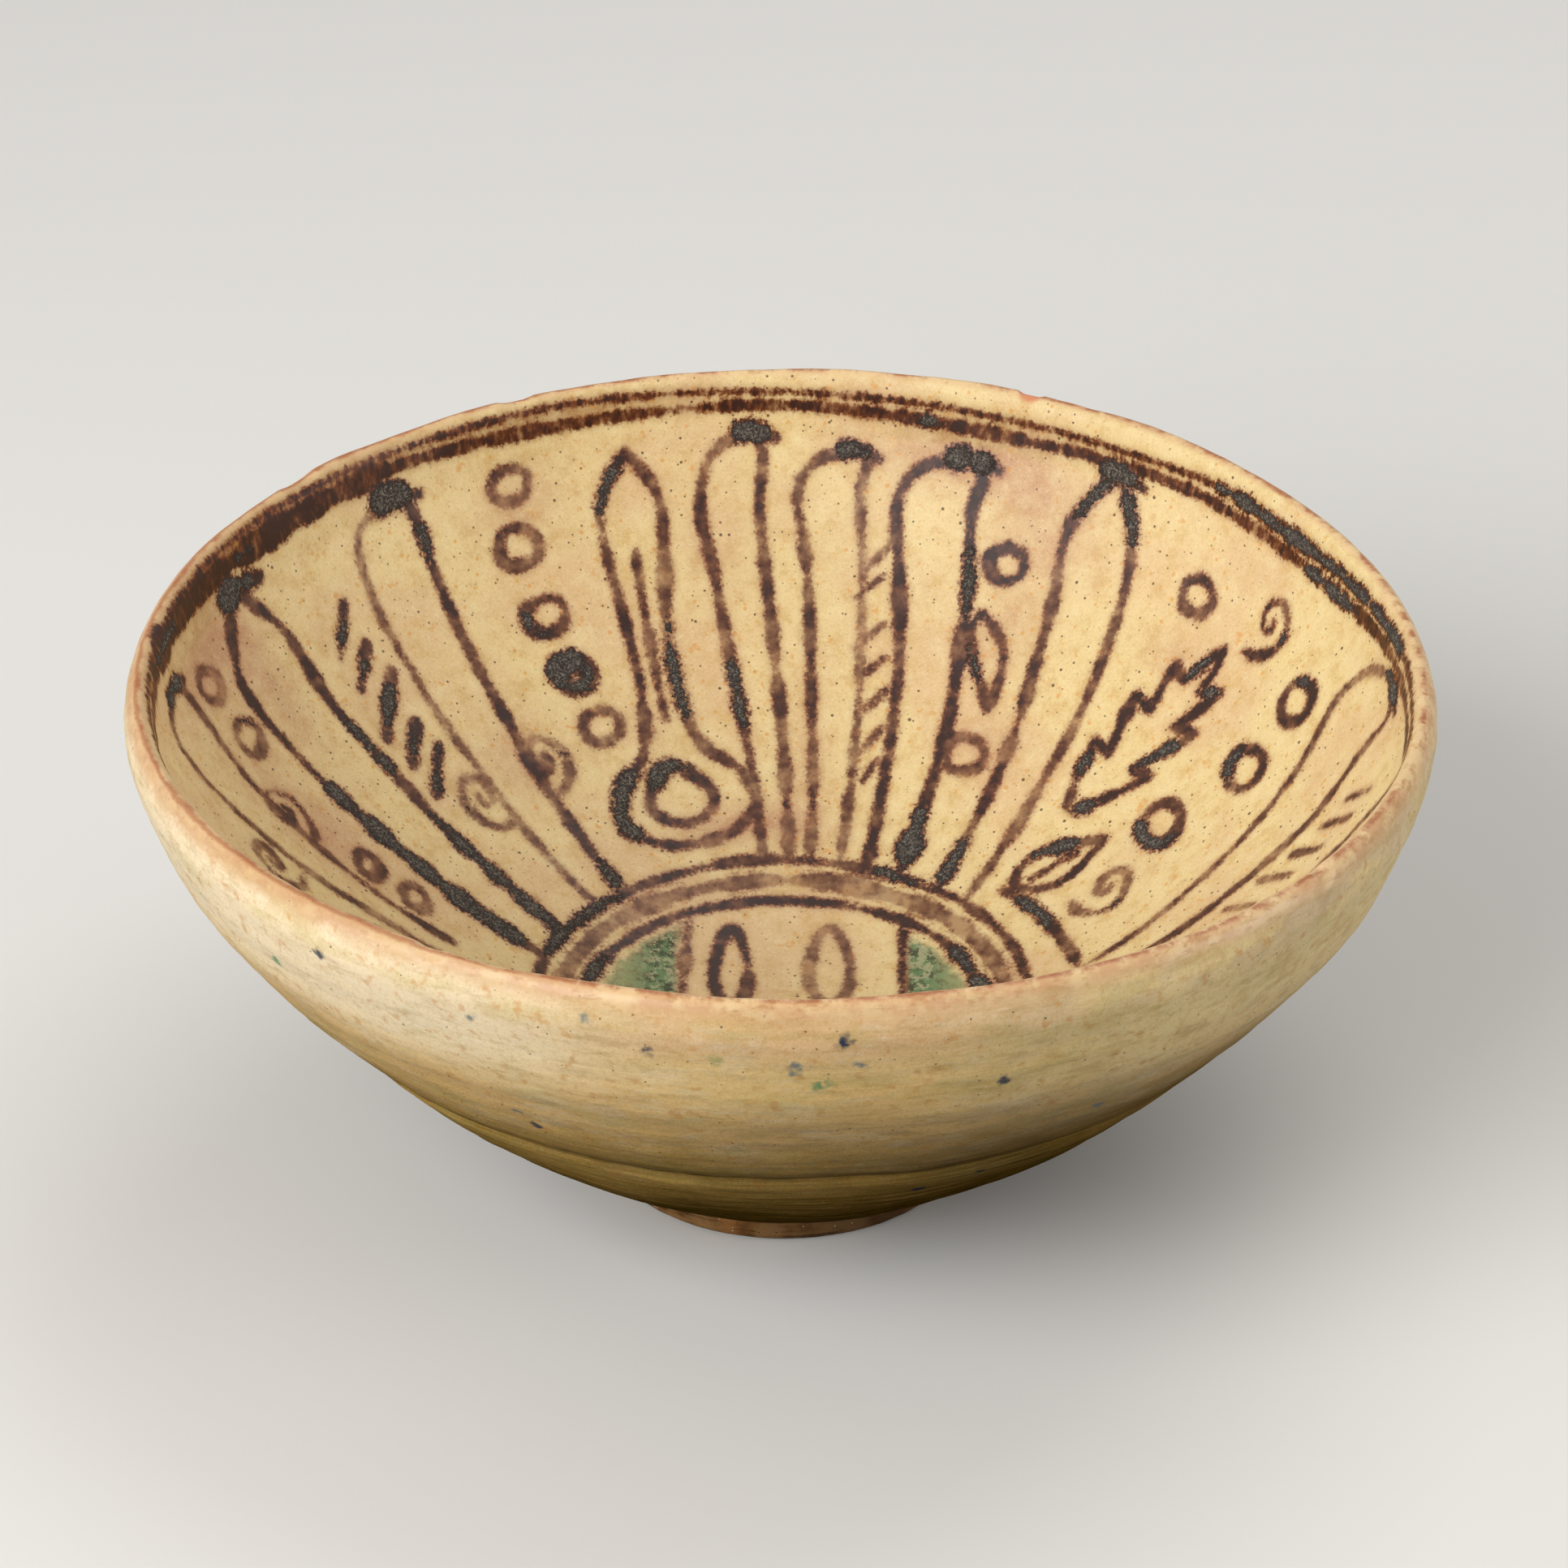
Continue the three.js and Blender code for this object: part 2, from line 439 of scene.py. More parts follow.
@dataclass
class Brushwork:
    """The painting on the inside: rim lines, medallion, radiating reeds and small ornaments."""
    form: BowlForm
    seed: int = 11
    spacing: float = 0.5
    halo: float = 3.5  # how far from the lines the painting is still worked out
    waver: Texture = (0.26, 21, 9)  # how the lines' breadth varies along a stroke
    tremor: Texture = (0.12, 23, 3)
    crust_waver: Texture = (0.3, 22, 5)
    blunt: float = 0.78  # the share of its breadth that a line keeps at its ends
    overlap: float = 1.2  # how far a crust reaches past its stretch
    most_pairs: int = 2_000_000  # points and trail places that are compared at once
    clouds: tuple[Cloud, ...] = (
        Cloud(70, 113, 17, 5, 0.9), Cloud(60, 104, 10, 8, 0.7), Cloud(61, 87, 6, 9, 0.6),
        Cloud(57, 67, 8, 6, 0.6), Cloud(166, 112, 13, 6, 1.0), Cloud(160, 100, 6, 12, 0.7),
        Cloud(173, 84, 8, 22, 0.8), Cloud(119, 109, 9, 6, 0.6), Cloud(133, 68, 6, 7, 0.7),
        Cloud(97, 47, 12, 4, 0.8), Cloud(98, 95, 7, 12, 0.35), Cloud(86, 60, 4, 16, 0.45),
        Cloud(38, 93, 9, 4, 0.35), Cloud(148, 84, 5, 12, 0.35), Cloud(20, 66, 7, 6, 0.3),
        Cloud(154, 123, 50, 2.6, 1.0), Cloud(112, 122.5, 22, 2.2, 0.55), Cloud(60, 119.8, 34, 1.6, 0.3),
        Cloud(-30, 100, 12, 8, 0.7), Cloud(-74, 52, 12, 8, 0.6), Cloud(-104, 104, 12, 7, 0.8),
        Cloud(-126, 70, 9, 9, 0.6), Cloud(-150, 108, 13, 6, 0.8), Cloud(90, 8, 12, 12, 0.25),
    )
    strokes: list[Stroke] = field(default_factory=list)

    def __post_init__(self) -> None:
        """Lays every stroke."""
        self.draw = np.random.default_rng(self.seed)
        self.rim_lines()
        self.medallion()
        self.far_side()
        self.near_side()

    def add(self, places: Iterable[Place], width: float = 1.7, load: float = 0.5,
            pools: Sequence[Crust] = (), closed: bool = False) -> None:
        """Adds one stroke.

        Args:
            places: (angle, reach) pairs that the brush passes through.
            width: of the line, in mm.
            load: how much pigment the brush holds, from 0 to 1.
            pools: (start, end, width) of each crusted stretch, with start and end as shares.
            closed: whether the line runs back to its start.
        """
        crusts = tuple(Pool(*pool) for pool in pools)
        self.strokes.append(Stroke(tuple(places), width, load, crusts, closed))

    def circle(self, reach: float, width: float, load: float, sway: float,
               pools: Sequence[Crust] = ()) -> None:
        """Draws a line right round the well, with a hand's unevenness.

        Args:
            reach, width, load, pools: as for any stroke; a share of 0 is at angle 0.
            sway: how far the line strays to either side, in mm.
        """
        knots = 18
        strays = self.draw.uniform(-sway, sway, knots)
        places = [(360 * i / knots, reach + strays[i]) for i in range(knots)]
        self.add(places, width, load, pools, closed=True)

    def ring(self, angle: float, reach: float, width: float = 1.9, load: float = 0.7,
             size: float = 3.5, crust: float = 0.0) -> None:
        """Draws a small ring, a little wider than it is high.

        Args:
            angle, reach: its middle.
            width, load: of its line.
            size: half its breadth, in mm.
            crust: the share of it that is crusted.
        """
        radius = self.form.radius_at(reach)
        knots = 7
        start = self.draw.uniform(0, 360)
        places = []
        for i in range(knots):
            turn = math.radians(start + 360 * i / knots)
            stray = self.draw.uniform(0.9, 1.1)
            across = math.degrees(size * stray * math.cos(turn) / radius)
            places.append((angle + across, reach + 0.84 * size * stray * math.sin(turn)))
        pools = ((0.0, crust, width * 1.05),) if crust else ()
        self.add(places, width, load, pools, closed=True)

    def dash(self, start: Place, end: Place, width: float = 1.7, load: float = 0.7,
             crust: float = 0.0) -> None:
        """Draws a short straight stroke, crusted over a share of its length."""
        bend = self.draw.uniform(-0.25, 0.25)
        middle = self.halfway(start, end, bend)
        pools = ((0.5 - crust / 2, 0.5 + crust / 2, width * 1.1),) if crust else ()
        self.add((start, middle, end), width, load, pools)

    @staticmethod
    def halfway(start: Place, end: Place, bend: float) -> Place:
        """Gives the place half-way between two others, moved sideways by bend in degrees."""
        return (start[0] + end[0]) / 2 + bend, (start[1] + end[1]) / 2

    def half_spiral(self, angle: float, reach: float, bulge: Turn, load: float,
                    size: float = 6.0) -> None:
        """Draws a curl that opens towards a neighbouring line.

        Args:
            angle, reach: the middle of the opening.
            bulge: the way that the curl bulges.
            load: of the brush.
            size: how far it bulges, in mm.
        """
        radius = self.form.radius_at(reach)
        degree = math.degrees(1 / radius) * bulge.value
        curl = ((0.2, -5.0), (3.0, -4.7), (size - 0.6, -2.2), (size, 1.6), (3.4, 4.9),
                (0.7, 4.3), (0.0, 2.0), (1.3, -0.3), (3.0, 0.3), (2.6, 1.9))
        self.add([(angle + x * degree, reach + y) for x, y in curl], 1.6, load, ((0.3, 0.42, load * 2.4),))

    def reed(self, top: float, foot: float, half_top: float, half_foot: float, tip: float = 114.5,
             shoulder: float = 103.0, end: float = 41.0, lean: float = 0.0, bow: float = 0.0,
             widths: Place = (1.7, 1.9), loads: Place = (0.5, 0.7),
             left_pools: Sequence[Crust] = (),
             right_pools: Sequence[Crust] = (),
             tip_crust: float = 2.6, pointed: bool = False) -> None:
        """Draws an outlined reed that rises from the medallion and closes in an arch.

        Args:
            top, foot: angles of its middle at the shoulder and at the foot.
            half_top, half_foot: half its breadth there, in degrees.
            tip, shoulder, end: reaches of the arch's peak, of the shoulder and of the foot.
            lean: how far the peak lies from the middle, in degrees.
            bow: how far the sides bend sideways half-way up, in degrees.
            widths, loads: of the line on the larger angle's side and on the other.
            left_pools, right_pools: crusts on those lines.
            tip_crust: breadth of the crusted dab at the peak, in mm, or 0.
            pointed: whether the arch comes to a point.
        """
        for side, width, load, pools in ((1, widths[0], loads[0], left_pools),
                                         (-1, widths[1], loads[1], right_pools)):
            places = []
            for share in (0.0, 0.2, 0.4, 0.6, 0.8, 1.0):
                middle = foot + (top - foot) * share + bow * math.sin(math.pi * share)
                half = half_foot + (half_top - half_foot) * share**1.5
                stray = self.draw.uniform(-0.22, 0.22)
                places.append((middle + side * half + stray, end + (shoulder - end) * share))
            if pointed:
                places.append((top + side * half_top * 0.66 + lean * 0.5, (shoulder + tip) / 2))
            else:
                places.append((top + side * half_top * 0.8 + lean * 0.5, shoulder + (tip - shoulder) * 0.72))
            places.append((top + lean, tip))
            self.add(places, width, load, pools)
        if tip_crust:
            across = half_top * 0.3
            dab = ((top + lean + across * 1.4, tip - 0.6), (top + lean, tip + 0.2),
                   (top + lean - across * 2.8, tip - 1.2))
            self.add(dab, tip_crust * 0.7, 0.95, ((0.0, 0.8, tip_crust * 1.2),))

    def leaf(self, tip: Place, base: Place, bulge: float, load: float = 0.7, rib: bool = True,
             crust: float = 0.0) -> None:
        """Draws an outlined leaf from base to tip.

        Args:
            tip, base: its two ends.
            bulge: half its greatest breadth, in mm.
            load: of the brush.
            rib: whether it has a middle rib.
            crust: the share of one side that is crusted.
        """
        half = math.degrees(bulge / self.form.radius_at(0.6 * base[1] + 0.4 * tip[1]))
        for side in (1, -1):
            places = [base]
            for share, breadth in ((0.2, 0.8), (0.42, 1.0), (0.7, 0.62)):
                angle, reach = between(base, tip, share)
                places.append((angle + side * half * breadth, reach))
            places.append(tip)
            pools = ((0.3, 0.3 + crust, 2.2),) if crust and side > 0 else ()
            self.add(places, 1.9, load, pools)
        if rib:
            inner = [between(base, tip, share) for share in (0.2, 0.45, 0.72)]
            self.add(inner, 1.3, load * 0.8)

    def palmette(self, base: Place, tip: Place, half: float) -> None:
        """Draws an outlined leaf with pointed lobes.

        Args:
            base, tip: its two ends.
            half: half its breadth, in mm.
        """
        lobes = ((0.0, 0.1), (0.1, 0.5), (0.34, 1.0), (0.31, 0.42), (0.62, 1.0),
                 (0.58, 0.4), (0.83, 0.7), (0.78, 0.26), (1, 0))
        radius = self.form.radius_at((base[1] + tip[1]) / 2)
        for side in (1, -1):
            corners = []
            for share, breadth in lobes:
                angle, reach = between(base, tip, share)
                corners.append((angle + side * math.degrees(half * breadth / radius), reach))
            for i, (start, end) in enumerate(zip(corners, corners[1:])):
                middle = self.halfway(start, end, 0.2 * side)
                pools = ((0.1, 0.75, 2.4),) if i % 3 == 1 + side // 2 else ()
                self.add((start, middle, end), 2.0, 0.85, pools)

    def bud(self, angle: float, lean: float) -> None:
        """Draws a tall onion-shaped bud with a long double neck and a kernel.

        Args:
            angle: of the bud's foot.
            lean: how far its neck leans, in degrees.
        """
        foot, length = 44.5, 70
        for side, pools in ((1, ((0.12, 0.3, 3.0), (0.86, 0.97, 2.6))), (-1, ((0.4, 0.62, 2.4),))):
            outline = ((0, foot), (7.5, 45.6), (13.5, 50.5), (11.0, 57.0), (5.0, 62.5),
                       (2.9, 71.0), (2.6, 83.0), (3.3, 96.0), (3.2, 106.0), (0, 114.0))
            places = [(angle + side * x + lean * (y - foot) / length, y) for x, y in outline]
            self.add(places, 2.0, 0.62 + 0.08 * side, pools)
        kernel = ((0, 48.5), (5.6, 50.5), (6.2, 54.5), (0.5, 59.5), (-5.2, 54.5), (-4.8, 50.5))
        self.add([(angle + x, y) for x, y in kernel], 2.0, 0.75, ((0.35, 0.6, 3.2),), closed=True)
        rib = [(angle + lean * (y - foot) / length, y) for y in (68.0, 82.0, 97.0)]
        self.add(rib, 1.5, 0.55)

    def hatching(self, rows: Sequence[tuple[Place, Place]], load: float = 0.6) -> None:
        """Draws a column of slanting dashes."""
        for start, end in rows:
            self.dash(start, end, 1.4, load)

    def rim_lines(self) -> None:
        """The broad and the thin line under the lip, which run together at the left."""
        broad = ((0, 120.3), (11, 119.6), (22, 118.1), (34, 118.1), (48, 118.8), (66, 118.0),
                 (79, 118.9), (92, 119.9), (106, 120.0), (122, 120.5), (135, 121.0), (146, 120.3),
                 (157, 121.2), (171, 121.9), (190, 121.4), (215, 120.2), (240, 120.6), (265, 119.8),
                 (290, 120.4), (315, 119.9), (340, 120.8))
        thin = ((0, 123.2), (11, 122.3), (22, 121.5), (32, 120.9), (43, 121.5), (57, 120.8),
                (71, 121.1), (87, 121.9), (101, 122.7), (113, 123.5), (127, 123.4), (145, 123.9),
                (162, 124.2), (182, 124.0), (205, 123.3), (235, 123.7), (265, 123.0), (295, 123.6),
                (330, 123.4))
        self.add(broad, 2.0, 0.66, ((0.048, 0.078, 2.3), (0.205, 0.211, 2.4), (0.71, 0.74, 2.2)), closed=True)
        self.add(thin, 1.15, 0.72, ((0.012, 0.118, 2.4), (0.62, 0.66, 2.0)), closed=True)
        merged = ((180, 122.6), (171, 122.2), (162, 121.6), (152, 120.9), (142, 120.9), (133, 121.3))
        self.add(merged, 4.2, 1.0, ((0.05, 0.22, 2.2), (0.52, 0.6, 2.0)))

    def medallion(self) -> None:
        """Three rings round the well, and the band with two loops that crosses it."""
        self.circle(39.9, 1.7, 0.8, 0.25, ((0.15, 0.19, 2.0), (0.37, 0.46, 2.1), (0.7, 0.76, 2.0)))
        self.circle(36.1, 2.5, 0.28, 0.2)
        self.circle(32.3, 1.9, 0.9, 0.2, ((0.0, 0.09, 2.4), (0.42, 0.5, 2.6), (0.55, 0.6, 2.2)))
        for top, foot, load in (((-15.4, 26.6), (-17.6, -25.0), 0.55), ((19.2, 24.0), (18.4, -24.6), 0.9)):
            self.add(self.across(top, foot), 1.5, load)
        loops = ((-8.4, 16.0, 2.7, 0.85), (7.4, 16.4, 3.3, 0.25),
                 (-8.0, -15.0, 2.9, 0.4), (8.2, -14.6, 2.8, 0.8))
        for x, y, half, load in loops:
            turns = [math.radians(angle) for angle in range(0, 360, 10)]
            loop = [(x + half * math.sin(turn) * (1 - 0.2 * math.cos(turn)), y + 9.6 * math.cos(turn))
                    for turn in turns]
            self.add(self.unwound([self.polar(*place) for place in loop]), 1.9, load, closed=True)

    def far_side(self) -> None:
        """The ornaments on the half of the wall that faces the camera."""
        self.reed(178.2, 180.5, 4.6, 2.6, tip=116.0, shoulder=107.0, end=55.0, lean=-2.0,
                  widths=(1.5, 1.7), loads=(0.4, 0.6), tip_crust=3.0)
        self.half_spiral(184.6, 88.0, Turn.ANTICLOCKWISE, 0.35)
        self.half_spiral(176.0, 87.0, Turn.CLOCKWISE, 0.55)
        self.ring(168.6, 109.4, 1.6, 0.35, 3.3)
        self.ring(168.8, 99.0, 1.8, 0.55, 3.4, 0.2)
        self.ring(172.2, 72.0, 1.9, 0.6, 2.7)
        self.ring(172.0, 63.0, 1.9, 0.6, 2.6)
        self.reed(158.6, 160.5, 5.2, 5.6, tip=117.0, shoulder=104.0, lean=-1.5, bow=-0.6, widths=(2.3, 2.2),
                  loads=(0.9, 0.85), left_pools=((0.04, 0.54, 3.7),),
                  right_pools=((0.0, 0.36, 3.1), (0.46, 0.62, 2.5)), tip_crust=3.6, pointed=True)
        for start, end, crust in (((148.3, 97.1), (143.8, 104.3), 0.4), ((148.2, 91.3), (143.8, 96.8), 0.3),
                                  ((150.1, 82.4), (142.8, 90.9), 0.6), ((149.8, 76.1), (144.3, 81.8), 0.5),
                                  ((149.7, 70.5), (143.8, 76.5), 0.9)):
            self.dash(start, end, 2.2, 0.85, crust + 0.1)
        self.reed(135.6, 136.7, 4.5, 4.4, tip=116.5, shoulder=104.0, lean=-2.2, widths=(1.4, 2.1),
                  loads=(0.35, 0.75), right_pools=((0.0, 0.08, 3.0), (0.82, 0.9, 2.2)), tip_crust=3.2)
        self.half_spiral(141.2, 64.5, Turn.ANTICLOCKWISE, 0.4)
        self.half_spiral(131.8, 65.4, Turn.CLOCKWISE, 0.4)
        self.ring(119.4, 112.1, 1.6, 0.6, 3.4)
        self.ring(120.4, 101.8, 1.9, 0.65, 3.8)
        self.ring(119.8, 89.6, 2.1, 0.85, 3.6, 0.3)
        self.ring(119.2, 78.8, 3.6, 0.95, 2.7, 1.0)
        self.ring(118.2, 68.8, 1.8, 0.5, 3.4)
        self.bud(109.0, -2.5)
        self.reed(96.0, 91.6, 3.3, 3.0, tip=115.5, lean=-2.4, loads=(0.55, 0.6),
                  left_pools=((0.3, 0.46, 2.2),), tip_crust=3.8)
        self.reed(85.0, 80.0, 3.3, 3.6, tip=112.5, shoulder=105.0, lean=-2.2, widths=(1.6, 1.5),
                  loads=(0.6, 0.4), tip_crust=3.2)
        self.hatching((((80.2, 92.8), (77.6, 98.4)), ((81.0, 87.8), (78.2, 91.8)),
                       ((80.3, 79.0), (77.2, 83.4)), ((78.9, 74.0), (76.2, 78.0)),
                       ((77.5, 68.1), (74.9, 72.5)), ((76.6, 61.6), (74.2, 66.0)),
                       ((75.6, 55.5), (73.8, 59.6))))
        self.reed(73.4, 65.6, 4.2, 4.3, tip=113.2, shoulder=104.0, lean=-2.6, widths=(2.1, 2.2),
                  loads=(0.75, 0.85), right_pools=((0.0, 0.16, 3.2), (0.62, 0.78, 2.3)), tip_crust=3.6)
        self.ring(63.9, 97.4, 2.0, 0.75, 3.3)
        self.leaf((59.6, 73.0), (65.2, 88.5), 3.2, 0.85, rib=False, crust=0.4)
        self.ring(59.9, 64.0, 1.8, 0.5, 3.7)
        self.reed(54.0, 46.2, 4.2, 4.3, tip=117.0, shoulder=104.0, lean=0.4, widths=(1.9, 1.8),
                  loads=(0.65, 0.6), left_pools=((0.86, 0.98, 2.8), (0.0, 0.12, 2.6)),
                  right_pools=((0.84, 0.95, 2.6),), tip_crust=2.8, pointed=True)
        self.ring(39.9, 103.6, 1.9, 0.8, 3.5)
        self.palmette((37.4, 63.0), (33.0, 98.5), 7.4)
        self.half_spiral(30.4, 105.5, Turn.CLOCKWISE, 0.75, 6.6)
        self.ring(18.2, 100.5, 2.1, 0.85, 3.8, 0.2)
        self.ring(17.4, 87.0, 2.2, 0.85, 4.2, 0.4)
        self.ring(21.2, 71.0, 2.3, 0.85, 4.2, 0.5)
        self.leaf((27.5, 62.5), (34.0, 46.5), 4.2, 0.85, crust=0.5)
        self.half_spiral(20.0, 56.5, Turn.CLOCKWISE, 0.6, 7.0)
        self.add(((36.0, 45.4), (26.0, 46.4), (14.0, 47.2), (1.0, 48.6)), 1.9, 0.85, ((0.1, 0.5, 2.4),))
        self.reed(7.0, -4.0, 5.6, 3.6, tip=117.5, shoulder=106.0, end=50.0, lean=-2.0, widths=(1.4, 1.7),
                  loads=(0.5, 0.6), tip_crust=2.8)
        self.hatching((((-3.4, 102.0), (-6.6, 108.0)), ((-3.6, 96.0), (-7.8, 103.0)),
                       ((-4.2, 89.6), (-8.0, 96.0)), ((-5.0, 83.0), (-8.6, 89.6)),
                       ((-6.4, 76.0), (-9.8, 82.0)), ((-8.0, 69.0), (-11.2, 75.0))), 0.45)
        stem = ((-12.0, 116.0), (-11.8, 104.0), (-13.0, 90.0), (-14.6, 76.0), (-16.5, 62.0), (-18.5, 50.0))
        self.add(stem, 1.6, 0.5)

    def near_side(self) -> None:
        """The ornaments on the half of the wall that the photograph hides."""
        self.reed(-27.0, -28.0, 5.0, 5.0, tip=116.0, loads=(0.7, 0.8), right_pools=((0.1, 0.4, 2.6),),
                  pointed=True)
        for i in range(4):
            self.ring(-38.5, 108.0 - 12.0 * i, 2.0, 0.75, 3.6, 0.3 * (i % 2))
        self.reed(-49.0, -48.0, 4.2, 4.4, tip=114.0, lean=2.0, loads=(0.5, 0.7))
        self.half_spiral(-43.8, 62.0, Turn.ANTICLOCKWISE, 0.45)
        for i in range(5):
            self.dash((-57.0, 72.0 + 6.6 * i), (-61.0, 78.0 + 6.6 * i), 2.0, 0.8, 0.5)
        self.bud(-74.0, 3.0)
        self.reed(-90.0, -92.0, 3.4, 3.2, tip=115.0, loads=(0.6, 0.5))
        self.hatching([((-96.4, 60.0 + 7.0 * i), (-98.8, 65.0 + 7.0 * i)) for i in range(6)])
        self.reed(-103.0, -106.0, 4.2, 4.4, tip=113.5, lean=2.0, loads=(0.8, 0.7),
                  left_pools=((0.0, 0.3, 2.8),))
        self.ring(-113.0, 98.0, 2.0, 0.75, 3.6)
        self.leaf((-114.0, 86.0), (-116.0, 66.0), 4.4, 0.8, crust=0.4)
        self.palmette((-129.0, 70.0), (-131.0, 99.0), 8.0)
        self.ring(-129.0, 106.0, 1.9, 0.7, 3.6)
        self.ring(-126.0, 62.0, 2.1, 0.8, 3.9, 0.4)
        self.ring(-135.0, 63.0, 2.1, 0.6, 3.7)
        self.reed(-150.0, -148.0, 5.0, 4.8, tip=116.5, loads=(0.6, 0.75), right_pools=((0.3, 0.6, 2.6),),
                  pointed=True)
        self.half_spiral(-155.6, 90.0, Turn.CLOCKWISE, 0.5)
        self.half_spiral(-153.4, 66.0, Turn.CLOCKWISE, 0.45)
        self.hatching([((-162.0, 66.0 + 7.4 * i), (-165.0, 71.0 + 7.4 * i)) for i in range(5)], 0.5)

    def trail(self, stroke: Stroke) -> tuple[np.ndarray, np.ndarray, np.ndarray]:
        """Follows one stroke over the surface.

        Args:
            stroke: the stroke.

        Returns:
            Points in mm, half the line's breadth at each, and half the crust's, which is
            well below 0 where there is no crust.
        """
        round_the_bowl = stroke.closed and stroke.places[-1][0] - stroke.places[0][0] > 180
        drawn = spline(stroke.places, 24, stroke.closed, (360.0 if round_the_bowl else 0.0, 0.0))
        rough = self.form.point(drawn[:, 1], np.radians(drawn[:, 0]))
        run = lengths_along(rough)
        count = max(4, int(run[-1] / self.spacing))
        stops = np.linspace(0, run[-1], count)
        angle = np.interp(stops, run, drawn[:, 0])
        reach = np.interp(stops, run, drawn[:, 1])
        points = self.form.point(reach, np.radians(angle))
        share = stops / run[-1]
        half = stroke.width / 2 * (1 + textured(points, (self.waver, self.tremor)))
        if not stroke.closed:
            ends = np.minimum(stops, run[-1] - stops)
            half = half * (self.blunt + (1 - self.blunt) * smooth_step(0, 2.0, ends))
        crust = np.full(count, -self.halo)
        for pool in stroke.pools:
            inside = np.minimum(share - pool.start, pool.end - share) * run[-1]
            grown = pool.width / 2 * (1 + textured(points, (self.crust_waver,)))
            grown = grown * smooth_step(-self.overlap, 1.6, inside)
            crust = np.maximum(crust, np.where(inside > -self.overlap, grown - 0.3, -self.halo))
            half = np.maximum(half, np.where(inside > -self.overlap, grown + 0.15, 0.0))
        return points, half, crust

    def fields(self, points: np.ndarray) -> dict[str, np.ndarray]:
        """Works out the painting at each point of the inside.

        Args:
            points: places on the surface, in mm.

        Returns:
            ink: mm that the point lies within a line, below 0 outside it.
            crust: the same for the crusted pools.
            load: how much pigment the nearest line holds.
            copper: the same as ink for the green segments.
        """
        ink = np.full(len(points), -self.halo)
        crust = np.full(len(points), -self.halo)
        load = np.full(len(points), 0.5)
        for stroke in self.strokes:
            trail, half, pooled = self.trail(stroke)
            low = trail.min(axis=0) - self.halo
            high = trail.max(axis=0) + self.halo
            near = np.nonzero(np.all((points > low) & (points < high), axis=1))[0]
            for part in np.array_split(near, len(near) * len(trail) // self.most_pairs + 1):
                if not len(part):
                    continue
                away = np.linalg.norm(points[part][:, None, :] - trail[None, :, :], axis=2)
                inside = (half[None, :] - away).max(axis=1)
                better = inside > ink[part]
                load[part[better]] = stroke.load
                ink[part] = np.maximum(ink[part], inside)
                crust[part] = np.maximum(crust[part], (pooled[None, :] - away).max(axis=1))
        return {"ink": ink, "crust": crust, "load": load, "copper": self.copper(points)}

    def haze(self, reach: np.ndarray, angle: np.ndarray) -> np.ndarray:
        """How strongly pigment clouds the glaze at each place, about 0 to 1."""
        total = np.zeros_like(reach)
        radius = self.form.section(reach)[0]
        for cloud in self.clouds:
            turn = turn_from(angle, cloud.angle)
            total += cloud.share * np.exp(-(turn * radius / cloud.breadth) ** 2
                                          - ((reach - cloud.reach) / cloud.rise) ** 2)
        return total

    def polar(self, x: float, y: float) -> Place:
        """Turns a place on the well, in mm from the axis, into an angle and a reach."""
        inside = self.form.reaches < self.form.lip_start
        reach = np.interp(math.hypot(x, y), self.form.profile[inside, 0], self.form.reaches[inside])
        return math.degrees(math.atan2(y, x)), float(reach)

    def across(self, start: Place, end: Place, knots: int = 25) -> list[Place]:
        """Gives the places of a straight line across the well, in (x, y) mm from start to end."""
        return self.unwound([self.polar(*between(start, end, i / (knots - 1))) for i in range(knots)])

    @staticmethod
    def unwound(places: list[Place]) -> list[Place]:
        """Keeps the angles of neighbouring places less than half a turn apart."""
        angles = np.degrees(np.unwrap(np.radians([angle for angle, _ in places])))
        return [(float(angle), reach) for angle, (_, reach) in zip(angles, places)]

    def copper(self, points: np.ndarray) -> np.ndarray:
        """How far each point lies within the green segments of the well, in mm."""
        radius = np.hypot(points[:, 0], points[:, 1])
        left, right = GREEN_FROM
        return np.minimum(np.maximum(points[:, 0] - right, left - points[:, 0]), GREEN_RADIUS - radius)


